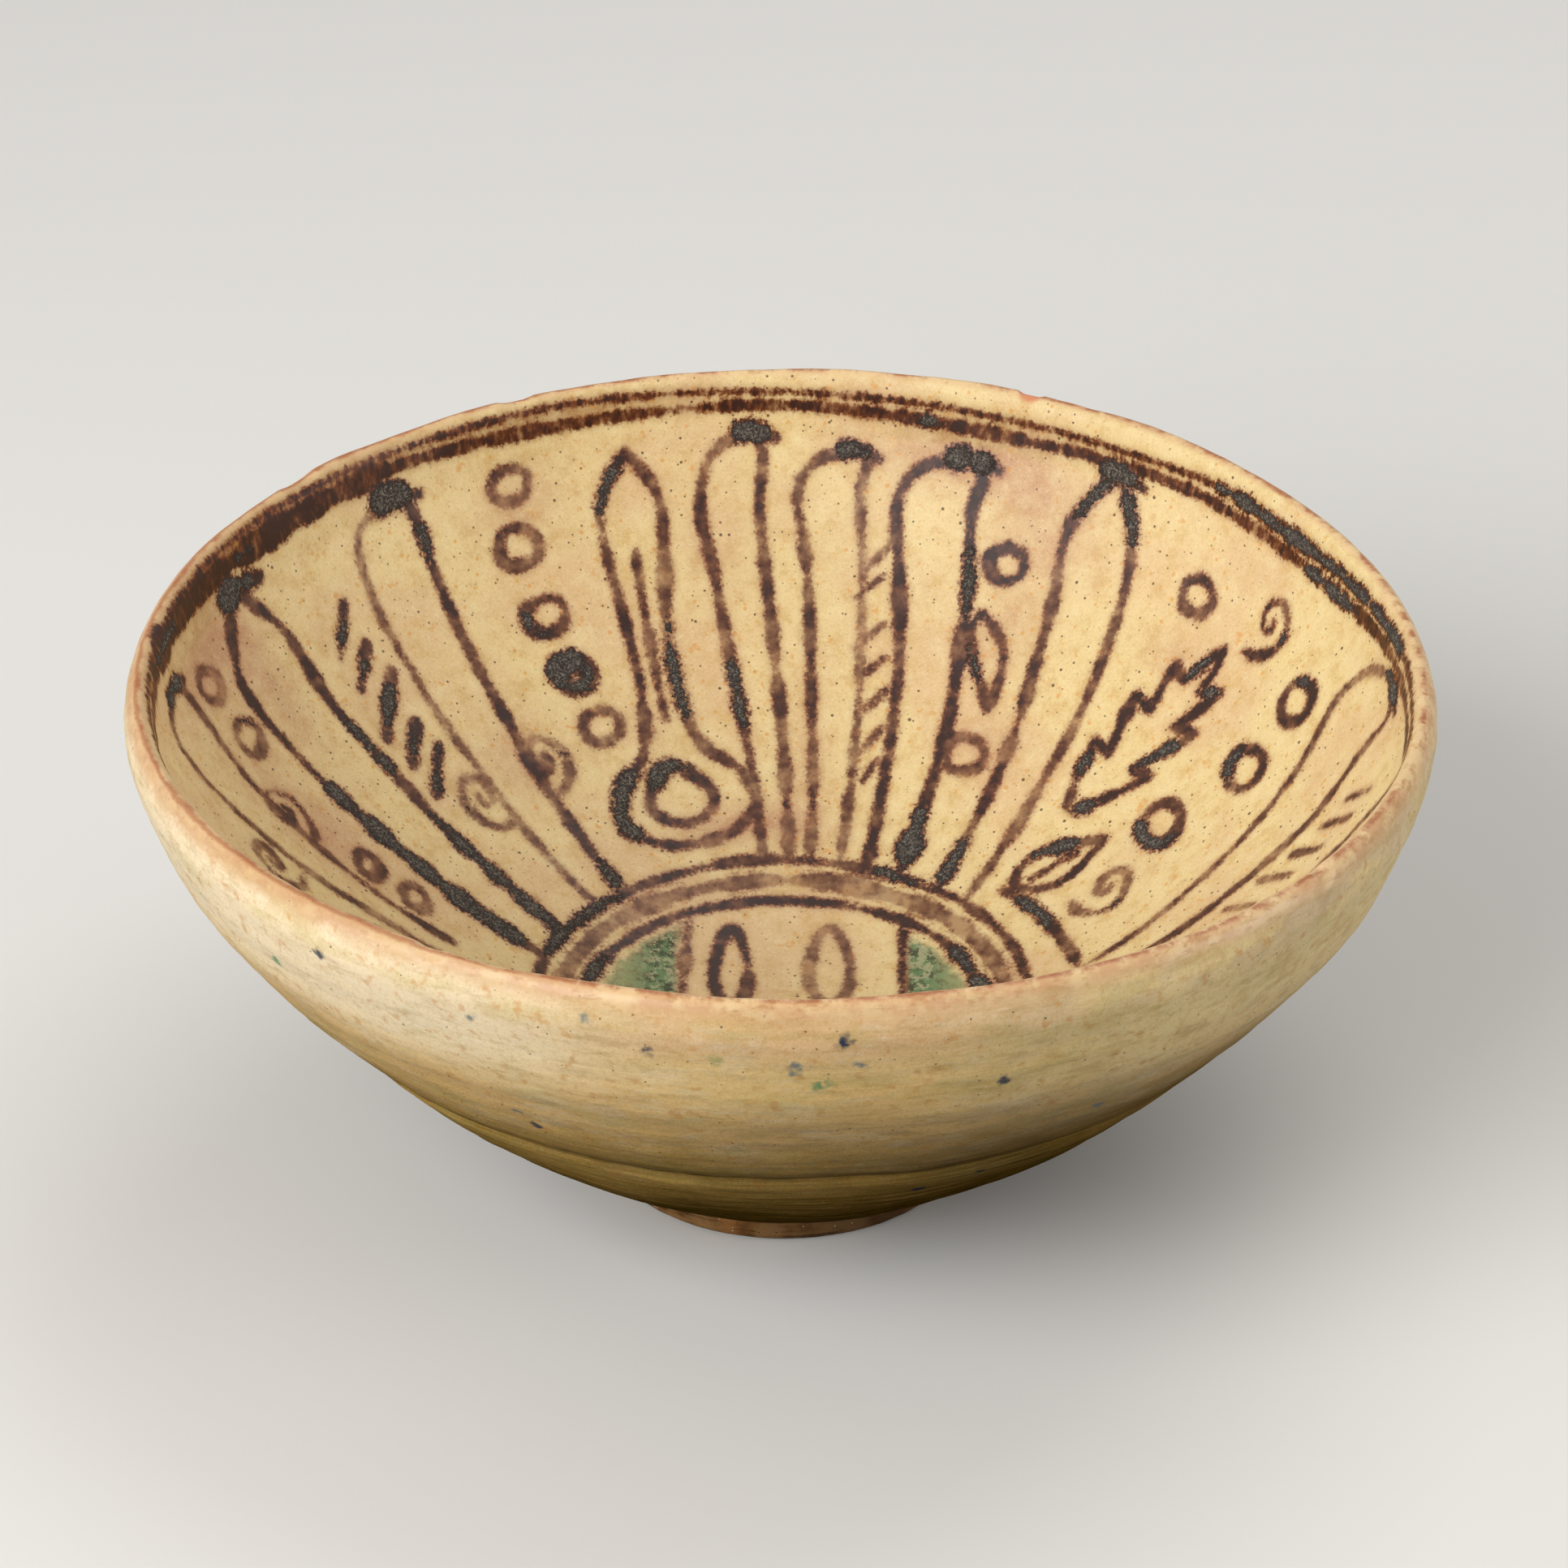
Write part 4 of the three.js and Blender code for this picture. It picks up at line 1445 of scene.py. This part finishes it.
@dataclass(frozen=True)
class Grain:
    """Hard grains that stand out of a surface."""
    name: str
    dark: Colour
    pale: Colour
    roughness: float

    def material(self) -> bpy.types.Material:
        """Builds the material, in shades that differ from grain to grain."""
        graph = ShaderGraph(self.name)
        tone = graph.noise(0.45, 71, 1.0)
        return graph.finish(graph.mix(tone.rise(0.35, 0.65), self.dark, self.pale), self.roughness)


def add_object(name: str, data: bpy.types.ID) -> bpy.types.Object:
    """Puts an object into the scene."""
    made = bpy.data.objects.new(name, data)
    bpy.context.scene.collection.objects.link(made)
    return made


class GeometryGraph(Graph):
    """A Geometry Nodes tree with named inputs."""

    def __init__(self, name: str) -> None:
        """Makes a tree that takes a geometry and gives one back."""
        super().__init__(bpy.data.node_groups.new(name, "GeometryNodeTree"))
        self.names: dict[str, str] = {}
        self.tree.interface.new_socket("Geometry", in_out="INPUT", socket_type="NodeSocketGeometry")
        self.tree.interface.new_socket("Geometry", in_out="OUTPUT", socket_type="NodeSocketGeometry")
        self.entry = self.add("NodeGroupInput")

    @property
    def geometry(self) -> Value:
        """What the tree is given."""
        return Value(self, self.entry.outputs["Geometry"])

    def entry_value(self, name: str, kind: str, default: float | int) -> Value:
        """Adds a named input.

        Args:
            name: of the input.
            kind: "Float" or "Int".
            default: its number.

        Returns:
            The input as a value.
        """
        socket = self.tree.interface.new_socket(name, in_out="INPUT", socket_type=f"NodeSocket{kind}")
        socket.default_value = default
        self.names[name] = socket.identifier
        return Value(self, self.entry.outputs[name])

    def end(self, geometry: Value, material: bpy.types.Material) -> None:
        """Makes instances real, gives them the material and ends the tree."""
        real = self.node("GeometryNodeRealizeInstances", values={"Geometry": geometry})
        dressed = self.node("GeometryNodeSetMaterial", values={"Geometry": real, "Material": material})
        self.add("NodeGroupOutput", values={"Geometry": dressed})

    def run(self, name: str, start: bpy.types.Mesh, **inputs: float) -> bpy.types.Mesh:
        """Runs the tree on a mesh.

        Args:
            name: of the mesh that comes out.
            start: what the tree is given.
            inputs: the tree's inputs by name, with _ for a space.

        Returns:
            The plain mesh.
        """
        holder = add_object(name + "_start", start)
        modifier = holder.modifiers.new("tree", "NODES")
        modifier.node_group = self.tree
        for key, value in inputs.items():
            modifier[self.names[key.replace("_", " ")]] = value
        made = holder.evaluated_get(bpy.context.evaluated_depsgraph_get())
        mesh = bpy.data.meshes.new_from_object(made)
        mesh.name = name
        holder.modifiers.remove(modifier)
        bpy.data.objects.remove(holder)
        return mesh


class TurnedForm(GeometryGraph):
    """Turns a closed outline about the axis, and roughens it as fired clay is rough."""

    def __init__(self, form: BowlForm, material: bpy.types.Material) -> None:
        """Builds the tree."""
        super().__init__("turned_form")
        turns = self.entry_value("Turns", "Int", 256)
        steps = self.entry_value("Steps", "Int", 128)
        rough = self.entry_value("Rough", "Float", 0.0)
        seed = self.entry_value("Seed", "Float", 0.0)
        outline = self.node("GeometryNodeMeshToCurve", values={"Mesh": self.geometry})
        grid = self.node("GeometryNodeMeshGrid", values={
            "Size X": 1.0, "Size Y": 1.0, "Vertices X": turns + 1, "Vertices Y": steps + 1})
        across, along, _ = self.parts(self.node("GeometryNodeInputPosition"))
        sampler = self.node("GeometryNodeSampleCurve", {"mode": "FACTOR", "use_all_curves": True},
                            {"Curves": outline, "Factor": along + 0.5}, output="Position")
        radius, _, height = self.parts(sampler)
        angle = (across + 0.5) * (2 * math.pi)
        share = radius / (form.rim_radius * MM)
        share = share * share * MM
        out, up = (self.waves(angle, waves) * share for waves in (form.out_waves, form.up_waves))
        distance = radius + out
        placed = self.combine(distance * self.math("COSINE", angle, 0.0),
                              distance * self.math("SINE", angle, 0.0), height + up)
        turned = self.node("GeometryNodeSetPosition", values={"Geometry": grid, "Position": placed})
        merged = self.node("GeometryNodeMergeByDistance", values={"Geometry": turned, "Distance": MM * 0.002})
        where = self.vector("MULTIPLY", self.node("GeometryNodeInputPosition"), TO_MM)
        patch = self.node("ShaderNodeTexNoise", {"noise_dimensions": "4D"}, {
            "Vector": where, "W": seed, "Scale": 0.35, "Detail": 3.0, "Roughness": 0.6})
        push = self.scaled(self.node("GeometryNodeInputNormal"), patch.swing(rough) * MM)
        roughened = self.node("GeometryNodeSetPosition", values={"Geometry": merged, "Offset": push})
        smooth = self.node("GeometryNodeSetShadeSmooth", values={"Geometry": roughened})
        self.end(smooth, material)

    def waves(self, angle: Value, waves: Sequence[tuple[float, int, float]]) -> Value:
        """Adds up cosines of (size in mm, number round the bowl, phase)."""
        total = None
        for size, count, phase in waves:
            wave = self.math("COSINE", angle * float(count) - phase, 0.0) * size
            total = wave if total is None else total + wave
        return total

    def turn(self, name: str, outline: Sequence[Place], **inputs: float) -> bpy.types.Mesh:
        """Turns one outline.

        Args:
            name: of the mesh.
            outline: places as (radius, height) in mm, from the top inwards to the bottom.
            inputs: the tree's inputs.

        Returns:
            The turned mesh.
        """
        start = bpy.data.meshes.new(name + "_outline")
        points = [(radius * MM, 0.0, height * MM) for radius, height in outline]
        start.from_pydata(points, [(i, i + 1) for i in range(len(points) - 1)], [])
        return self.run(name, start, **inputs)


class ScatteredGrains(GeometryGraph):
    """Scatters small hard grains over a mesh where its attribute asks for them."""

    def __init__(self, attribute: str, material: bpy.types.Material) -> None:
        """Builds the tree."""
        super().__init__("scattered_grains_" + attribute)
        density = self.entry_value("Density", "Float", 1.0)
        small = self.entry_value("Smallest", "Float", 0.1)
        large = self.entry_value("Largest", "Float", 0.2)
        seed = self.entry_value("Seed", "Int", 1)
        share = self.node("GeometryNodeInputNamedAttribute", {"data_type": "FLOAT"}, {"Name": attribute})
        points = self.add("GeometryNodeDistributePointsOnFaces", {"distribute_method": "RANDOM"}, {
            "Mesh": self.geometry, "Density": share * density * (1 / MM) ** 2, "Seed": seed})
        ball = self.node("GeometryNodeMeshIcoSphere", values={"Radius": MM, "Subdivisions": 1})
        size = self.node("FunctionNodeRandomValue", {"data_type": "FLOAT"},
                         {2: small, 3: large, "Seed": seed}, output=1)
        squashed = self.combine(size, size * 0.9, size * 0.65)
        grains = self.node("GeometryNodeInstanceOnPoints", values={
            "Points": Value(self, points.outputs["Points"]), "Instance": ball,
            "Rotation": Value(self, points.outputs["Rotation"]), "Scale": squashed})
        self.end(grains, material)


def ring_angles(counts: Sequence[int]) -> np.ndarray:
    """Spaces the points of each ring evenly, and gives all their angles in radians."""
    return np.concatenate([2 * math.pi * np.arange(count) / count for count in counts])


def stitched(first: int, count: int, second: int, next_count: int) -> np.ndarray:
    """Fills the band between two rings of points with triangles.

    Args:
        first, count: number of the first ring's first point, and how many it has.
        second, next_count: the same for the ring that comes next.

    Returns:
        Three point numbers for each triangle.
    """
    turns = (np.arange(count) + 0.5) / count
    next_turns = (np.arange(next_count) + 0.5) / next_count
    faces = []
    if count > 1:
        here = np.arange(count)
        there = np.searchsorted(next_turns, turns) % next_count
        faces.append(np.stack([first + here, second + there, first + (here + 1) % count], axis=1))
    if next_count > 1:
        there = np.arange(next_count)
        here = np.searchsorted(turns, next_turns, side="right") % count
        faces.append(np.stack([first + here, second + there, second + (there + 1) % next_count], axis=1))
    return np.concatenate(faces)


def ring_faces(counts: Sequence[int], closed: bool = False) -> np.ndarray:
    """Stitches each ring to the next, and the last to the first where closed."""
    starts = np.concatenate([[0], np.cumsum(counts)]).astype(int)
    pairs = [(i, i + 1) for i in range(len(counts) - 1)]
    if closed:
        pairs.append((len(counts) - 1, 0))
    return np.concatenate([stitched(starts[i], counts[i], starts[j], counts[j]) for i, j in pairs])


def vertex_normals(points: np.ndarray, faces: np.ndarray) -> np.ndarray:
    """Averages the directions of the triangles round each point."""
    corner, second, third = (points[faces[:, k]] for k in range(3))
    square = np.cross(second - corner, third - corner)
    total = np.stack([sum(np.bincount(faces[:, k], square[:, axis], len(points)) for k in range(3))
                      for axis in range(3)], axis=1)
    return total / np.linalg.norm(total, axis=1)[:, None]


def add_piece(name: str, mesh: bpy.types.Mesh, replaced: Sequence[str] = (),
              material: bpy.types.Material | None = None) -> bpy.types.Object:
    """Puts a mesh into the scene as a piece that rides on the bowl.

    Args:
        name: of the piece.
        mesh: in metres.
        replaced: the nodes that the piece stands for.
        material: the finish, where the mesh has none yet.

    Returns:
        The piece.
    """
    piece = add_object(name, mesh)
    if material is not None:
        mesh.materials.append(material)
    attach(piece, BODY)
    if replaced:
        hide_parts(*replaced)
    log.info("%s: %d triangles", name, sum(len(face.vertices) - 2 for face in mesh.polygons))
    return piece


@dataclass
class Coats:
    """The inside and the outside glaze, cut at the crest of the lip from one skin of rings."""
    form: BowlForm
    painting: Brushwork
    inside_spacing: float = 0.8
    lip_spacing: float = 0.5
    outside_spacing: float = 0.95
    lip_margin: float = 2.0  # how far the lip's close rings run past it
    thickness: float = 0.42
    deepest: float = 0.35
    line_rise: float = 0.03  # height of a brush line
    crust_rise: float = 0.16
    crystals: tuple[Texture, ...] = ((0.07, 31, 1.6), (0.06, 32, 3.4))
    edge_sink: float = 0.3  # how far the glaze thins down at its lower edge
    edge_breadth: float = 1.6  # breadth of that thin edge
    edge_reach: float = 9.0  # breadth of the zone whose lower edge runs unevenly
    back_gap: float = 0.25  # between each coat's back and the crest
    back_count: int = 240
    back_density: float = 4.0  # points on a small ring of the back for each mm of its radius
    back_spacing: float = 2.4

    def __post_init__(self) -> None:
        """Lays out the rings of the visible skin."""
        form = self.form
        lip_from, lip_to = form.lip_start - self.lip_margin, form.lip_end + self.lip_margin
        stretches = (
            (0.0, lip_from, self.inside_spacing),
            (lip_from, form.crest, self.lip_spacing),
            (form.crest, lip_to, self.lip_spacing),
            (lip_to, form.end, self.outside_spacing),
        )
        parts = [np.linspace(start, end, round((end - start) / spacing), endpoint=False)
                 for start, end, spacing in stretches]
        self.ring_reaches = np.concatenate([*parts, [form.end]])
        self.crest_ring = len(parts[0]) + len(parts[1])
        around = np.where(self.ring_reaches > form.crest, self.outside_spacing, self.inside_spacing)
        self.counts = self.ring_counts(self.ring_reaches, around)

    def ring_counts(self, reaches: np.ndarray, spacing: np.ndarray | float) -> list[int]:
        """Gives each ring its number of points, a single one on the axis."""
        radii = self.form.section(reaches)[0]
        counts = np.maximum(np.round(2 * math.pi * radii / spacing), 8)
        return [1 if radius < ON_AXIS else int(count) for radius, count in zip(radii, counts)]

    def crept(self, reach: np.ndarray, angle: np.ndarray) -> np.ndarray:
        """Draws the lower edge of the outside glaze back unevenly, as it ran in the kiln."""
        tongues = np.sin(3 * angle + 1.0) + 0.6 * np.sin(7 * angle + 2.2) + 0.35 * np.sin(16 * angle + 0.5)
        back = np.clip(0.5 + 0.45 * tongues, 0.0, 1.5)
        return reach - back * smooth_step(self.form.end - self.edge_reach, self.form.end, reach)

    def build(self, inside_finish: bpy.types.Material,
              outside_finish: bpy.types.Material) -> list[bpy.types.Object]:
        """Builds both coats.

        Args:
            inside_finish, outside_finish: their materials.

        Returns:
            The inside coat and the outside coat.
        """
        form = self.form
        angle = ring_angles(self.counts)
        nominal = np.repeat(self.ring_reaches, self.counts)
        reach = self.crept(nominal, angle)
        surface = form.point(reach, angle)
        bare = form.chipping(reach, angle)[1]
        painted = self.painting.fields(surface)
        raised = self.line_rise * smooth_step(-0.4, 0.5, painted["ink"])
        heap = self.crust_rise + textured(surface, self.crystals)
        raised = raised + smooth_step(-0.15, 0.5, painted["crust"]) * heap
        painted["haze"] = self.painting.haze(reach, angle)
        painted["grains"] = smooth_step(0.1, 0.6, painted["crust"])
        lift = np.maximum(form.relief(reach, angle) + raised, -self.deepest)
        sunk = smooth_step(form.end - self.edge_breadth, form.end, nominal)
        lift = lift * (1 - sunk) - self.edge_sink * sunk
        points = form.point(reach, angle, lift)
        normals = vertex_normals(points, ring_faces(self.counts))
        values = {**painted, "crest": reach - form.crest, "bare": bare, "edge": form.end - nominal}
        cut = sum(self.counts[:self.crest_ring])
        join = cut + self.counts[self.crest_ring]
        inside = self.coat("glaze_inside", self.counts[:self.crest_ring + 1], points[:join], normals[:join],
                           {name: value[:join] for name, value in values.items()},
                           form.crest - self.back_gap, 0.0)
        outside = self.coat("glaze_outside", self.counts[self.crest_ring:], points[cut:], normals[cut:],
                            {name: values[name][cut:] for name in ("crest", "bare", "edge")},
                            form.end, form.crest + self.back_gap)
        return [
            add_piece("glaze_inside", inside, ("inside_glaze",), inside_finish),
            add_piece("glaze_outside", outside, ("outside_glaze",), outside_finish),
        ]

    def coat(self, name: str, counts: list[int], points: np.ndarray, normals: np.ndarray,
             values: dict[str, np.ndarray], back_start: float, back_end: float) -> bpy.types.Mesh:
        """Closes a stretch of the skin with a plain back that lies on the slip.

        Args:
            name: of the mesh.
            counts, points, normals: of the visible rings, in order of reach.
            values: numbers that the material reads, one per visible point.
            back_start, back_end: the reaches between which the back runs.

        Returns:
            The closed mesh, in metres.
        """
        steps = round(abs(back_start - back_end) / self.back_spacing)
        reaches = np.linspace(back_start, back_end, steps)
        radii = self.form.section(reaches)[0]
        back = [1 if radius < ON_AXIS else min(self.back_count, max(8, round(radius * self.back_density)))
                for radius in radii]
        angle = ring_angles(back)
        nominal = np.repeat(reaches, back)
        behind = self.form.point(self.crept(nominal, angle), angle, -self.thickness)
        faces = ring_faces(counts + back, closed=counts[0] > 1)
        mesh = bpy.data.meshes.new(name)
        mesh.from_pydata(np.concatenate([points, behind]) * MM, [], faces)
        mesh.shade_smooth()
        for key, value in values.items():
            hidden = np.full(len(behind), -self.painting.halo)
            held = mesh.attributes.new(key, "FLOAT", "POINT")
            held.data.foreach_set("value", np.concatenate([value, hidden]).astype(np.float32))
        mesh.normals_split_custom_set_from_vertices(np.concatenate([normals, np.zeros_like(behind)]))
        return mesh


@dataclass
class Pottery:
    """What lies under the glaze: the slip coats, the thrown body, and the foot ring luted to it."""
    form: BowlForm
    slip_lift: float = -0.43
    slip_floor: float = -0.78
    clay_lift: float = -0.8
    slip_hem: float = 1.2  # how far above the wall's end the slip stops
    slip_spacing: float = 0.8
    seat_overhang: float = 2.0
    foot_flare: float = 1.4
    ring_breadth: float = 6.2
    ring_undercut: float = 1.2
    ring_waist: float = 0.5  # how far each side stands out half-way up
    swell: float = 0.9
    turning_mark: float = 0.12  # height of the marks turned underneath
    mark_rate: float = 2.1  # radians of their wave in each mm of radius
    edge_round: float = 0.9

    @property
    def hollow_seat(self) -> float:
        """Radius of the foot's hollow where the ring meets the body."""
        return self.form.foot_radius - self.ring_breadth - self.ring_undercut

    def under(self, start: float, end: float, lift: float, spacing: float = 1.5) -> list[Place]:
        """Follows the profile at a depth below the glaze.

        Args:
            start, end: reaches, in mm.
            lift: out of the finished surface, so below 0.
            spacing: between two places.

        Returns:
            Places as (radius, height).
        """
        reaches = np.linspace(start, end, max(3, round(abs(end - start) / spacing)))
        radius, height, square = self.form.section(reaches)
        places = np.stack([radius, height], axis=1) + square * lift
        if start == 0:
            places[0] = (0.0, self.form.floor_height + lift)
        if end == 0:
            places[-1] = (0.0, self.form.floor_height + lift)
        return [tuple(place) for place in places]

    def slip_outline(self, start: float, end: float) -> list[Place]:
        """Follows a slip along its face and back along the clay, with its last place first as well."""
        face = self.under(start, end, self.slip_lift, self.slip_spacing)
        back = self.under(end, start, self.slip_floor, self.slip_spacing)
        return [back[-1], *face, *back]

    def slips(self, finish: bpy.types.Material) -> list[bpy.types.Object]:
        """Builds the slip between the glaze and the clay, inside and outside."""
        turning = TurnedForm(self.form, finish)
        crest, hem = self.form.crest, self.form.wall_end - self.slip_hem
        slips = (("slip_inside", "inside_slip", self.slip_outline(crest, 0.0)),
                 ("slip_outside", "outside_slip", self.slip_outline(hem, crest)))
        return [add_piece(name, turning.turn(name, outline, Turns=200, Steps=260), (node,))
                for name, node, outline in slips]

    def body(self, finish: bpy.types.Material) -> bpy.types.Object:
        """Builds the thrown body, from the middle of its underside up and over to the inside."""
        form = self.form
        underside = []
        for share in np.linspace(0, 1, 60):
            radius = self.hollow_seat * share
            marks = self.turning_mark * math.sin(radius * self.mark_rate) * math.sin(math.pi * share)
            sag = self.swell * (1 - share) + marks
            underside.append((radius, form.foot_height - sag))
        seat = [(form.foot_radius + self.seat_overhang, form.foot_height)]
        outer = self.under(form.wall_end, form.crest, self.clay_lift)
        inner = self.under(form.crest, 0.0, self.clay_lift)
        outline = underside + seat + outer + inner[1:]
        mesh = TurnedForm(form, finish).turn("clay_body", outline, Turns=280, Steps=300, Rough=0.12, Seed=1.0)
        return add_piece("clay_body", mesh, ("bowl_body",))

    def foot(self, finish: bpy.types.Material) -> bpy.types.Object:
        """Builds the foot ring with eased, slightly worn edges."""
        form = self.form
        hollow = form.foot_radius - self.ring_breadth
        ease = self.edge_round

        def corner(radius: float, height: float, start: float) -> list[Place]:
            """A rounded edge, a quarter turn from the start angle."""
            turns = [math.radians(start + 15 * i) for i in range(7)]
            return [(radius + ease * math.cos(turn), height + ease * math.sin(turn)) for turn in turns]

        outline = [
            (self.hollow_seat, form.foot_height),
            (hollow - self.ring_waist, form.foot_height * 0.5),
            *corner(hollow + ease, ease, 180),
            *corner(form.foot_radius - ease, ease, 270),
            (form.foot_radius + self.ring_waist, form.foot_height * 0.5),
            (form.foot_radius + self.foot_flare, form.foot_height),
            (self.hollow_seat, form.foot_height),
        ]
        mesh = TurnedForm(form, finish).turn("foot", outline, Turns=280, Steps=64, Rough=0.3, Seed=4.0)
        places = np.zeros(len(mesh.vertices) * 3, np.float32)
        mesh.vertices.foreach_get("co", places)
        points = places.reshape(-1, 3) / MM
        seen = smooth_step(hollow - 0.5, hollow + 0.8, np.hypot(points[:, 0], points[:, 1]))
        clear = smooth_step(0.8, 1.6, points[:, 2]) * (1 - smooth_step(4.6, 5.4, points[:, 2]))
        patchy = smooth_step(-0.4, 0.5, Ripple(51, 6)(points))
        held = mesh.attributes.new("grit", "FLOAT", "POINT")
        held.data.foreach_set("value", (seen * clear * patchy).astype(np.float32))
        return add_piece("foot", mesh, ("foot_ring",))


@dataclass
class Studio:
    """The camera at the photograph's angle, soft lights and a plain pale floor, measured in metres."""
    distance: float = 0.9
    elevation: float = 30.66
    aim_height: float = 0.0654
    lens: float = 133.8
    sensor_width: float = 36.0
    shift: float = 0.0003
    lamp_aim: float = 0.06  # height at which the lamps point
    floor_half: float = 3.0
    floor_drop: float = 0.0002  # how far the floor lies below the foot
    backdrop: Colour = srgb(228, 226, 222)
    shade: float = 0.05  # the floor's grey in bounced light
    sky: Colour = (1.0, 0.985, 0.96)
    sky_strength: float = 0.25
    seen_strength: float = 0.5  # how much brighter the sky is where it is seen

    def camera(self) -> None:
        """Adds the camera."""
        lens = bpy.data.cameras.new("camera")
        lens.lens = self.lens
        lens.sensor_width = self.sensor_width
        lens.shift_x = self.shift
        lens.clip_start = 0.01
        eye = add_object("camera", lens)
        rise = math.radians(self.elevation)
        away = Vector((0, -math.cos(rise), math.sin(rise))) * self.distance
        eye.location = Vector((0, 0, self.aim_height)) + away
        eye.rotation_euler = (-away).to_track_quat("-Z", "Y").to_euler()
        bpy.context.scene.camera = eye

    def light(self, name: str, place: tuple[float, float, float], size: float, power: float) -> None:
        """Adds a square soft light that faces the bowl."""
        lamp = bpy.data.lights.new(name, "AREA")
        lamp.size = size
        lamp.energy = power
        head = add_object(name, lamp)
        head.location = place
        beam = Vector((0, 0, self.lamp_aim)) - Vector(place)
        head.rotation_euler = beam.to_track_quat("-Z", "Y").to_euler()

    def backdrop_share(self, graph: Graph) -> Value:
        """1 for rays that see the background straight or in a reflection, 0 for bounced light."""
        rays = graph.add("ShaderNodeLightPath")
        camera, glossy, through = (Value(graph, rays.outputs[name])
                                   for name in ("Is Camera Ray", "Is Glossy Ray", "Is Transmission Ray"))
        return camera.most(glossy).most(through)

    def floor(self) -> None:
        """Adds the floor, which keeps the bowl's shadow."""
        half = self.floor_half
        corners = [(-half, -half, 0), (half, -half, 0), (half, half, 0), (-half, half, 0)]
        mesh = bpy.data.meshes.new("floor")
        mesh.from_pydata(corners, [], [(0, 1, 2, 3)])
        graph = ShaderGraph("floor")
        seen = self.backdrop_share(graph)
        colour = graph.mix(seen, (self.shade,) * 3, self.backdrop)
        mesh.materials.append(graph.finish(colour, 0.9))
        plane = add_object("floor", mesh)
        plane.location.z = -self.floor_drop

    def world(self) -> None:
        """Sets a grey sky that looks pale to the camera."""
        sky = bpy.data.worlds.new("sky")
        sky.use_nodes = True
        graph = Graph(sky.node_tree)
        strength = self.backdrop_share(graph) * self.seen_strength + self.sky_strength
        light = graph.node("ShaderNodeBackground", values={"Color": self.sky, "Strength": strength})
        graph.add("ShaderNodeOutputWorld", values={"Surface": light})
        bpy.context.scene.world = sky

    def build(self) -> None:
        """Sets the whole stage."""
        self.camera()
        self.light("key", (-0.7, -0.92, 0.84), 0.8, 15.0)
        self.light("left", (-1.2, -0.5, 0.5), 0.6, 5.6)
        self.light("right", (1.35, -0.25, 0.28), 0.7, 7.4)
        self.light("top", (0.35, 0.5, 1.15), 0.9, 5.2)
        self.floor()
        self.world()
        bpy.context.scene.view_settings.view_transform = "Standard"


def main() -> None:
    """Builds the bowl and its stage."""
    form = BowlForm.from_frame()
    Studio().build()
    clay = BareClay().material()
    pottery = Pottery(form)
    pottery.body(clay)
    foot = pottery.foot(clay)
    pottery.slips(Slip().material())
    coats = Coats(form, Brushwork(form))
    inside, _ = coats.build(PaintedGlaze().material(), PlainGlaze().material(form))
    crystal = Grain("crust_grain", srgb(58, 54, 46), srgb(150, 148, 126), 0.6)
    crystals = ScatteredGrains("grains", crystal.material())
    mesh = crystals.run("crust_grains", inside.data, Density=0.9, Smallest=0.07, Largest=0.17, Seed=7)
    add_piece("crust_grains", mesh)
    stone = Grain("clay_grit", srgb(84, 60, 40), srgb(196, 172, 132), 0.9)
    stones = ScatteredGrains("grit", stone.material())
    mesh = stones.run("clay_grit", foot.data, Density=0.5, Smallest=0.1, Largest=0.24, Seed=3)
    add_piece("clay_grit", mesh)


if __name__ == "__main__":
    logging.basicConfig(level=logging.INFO, format="%(name)s: %(message)s")
    main()
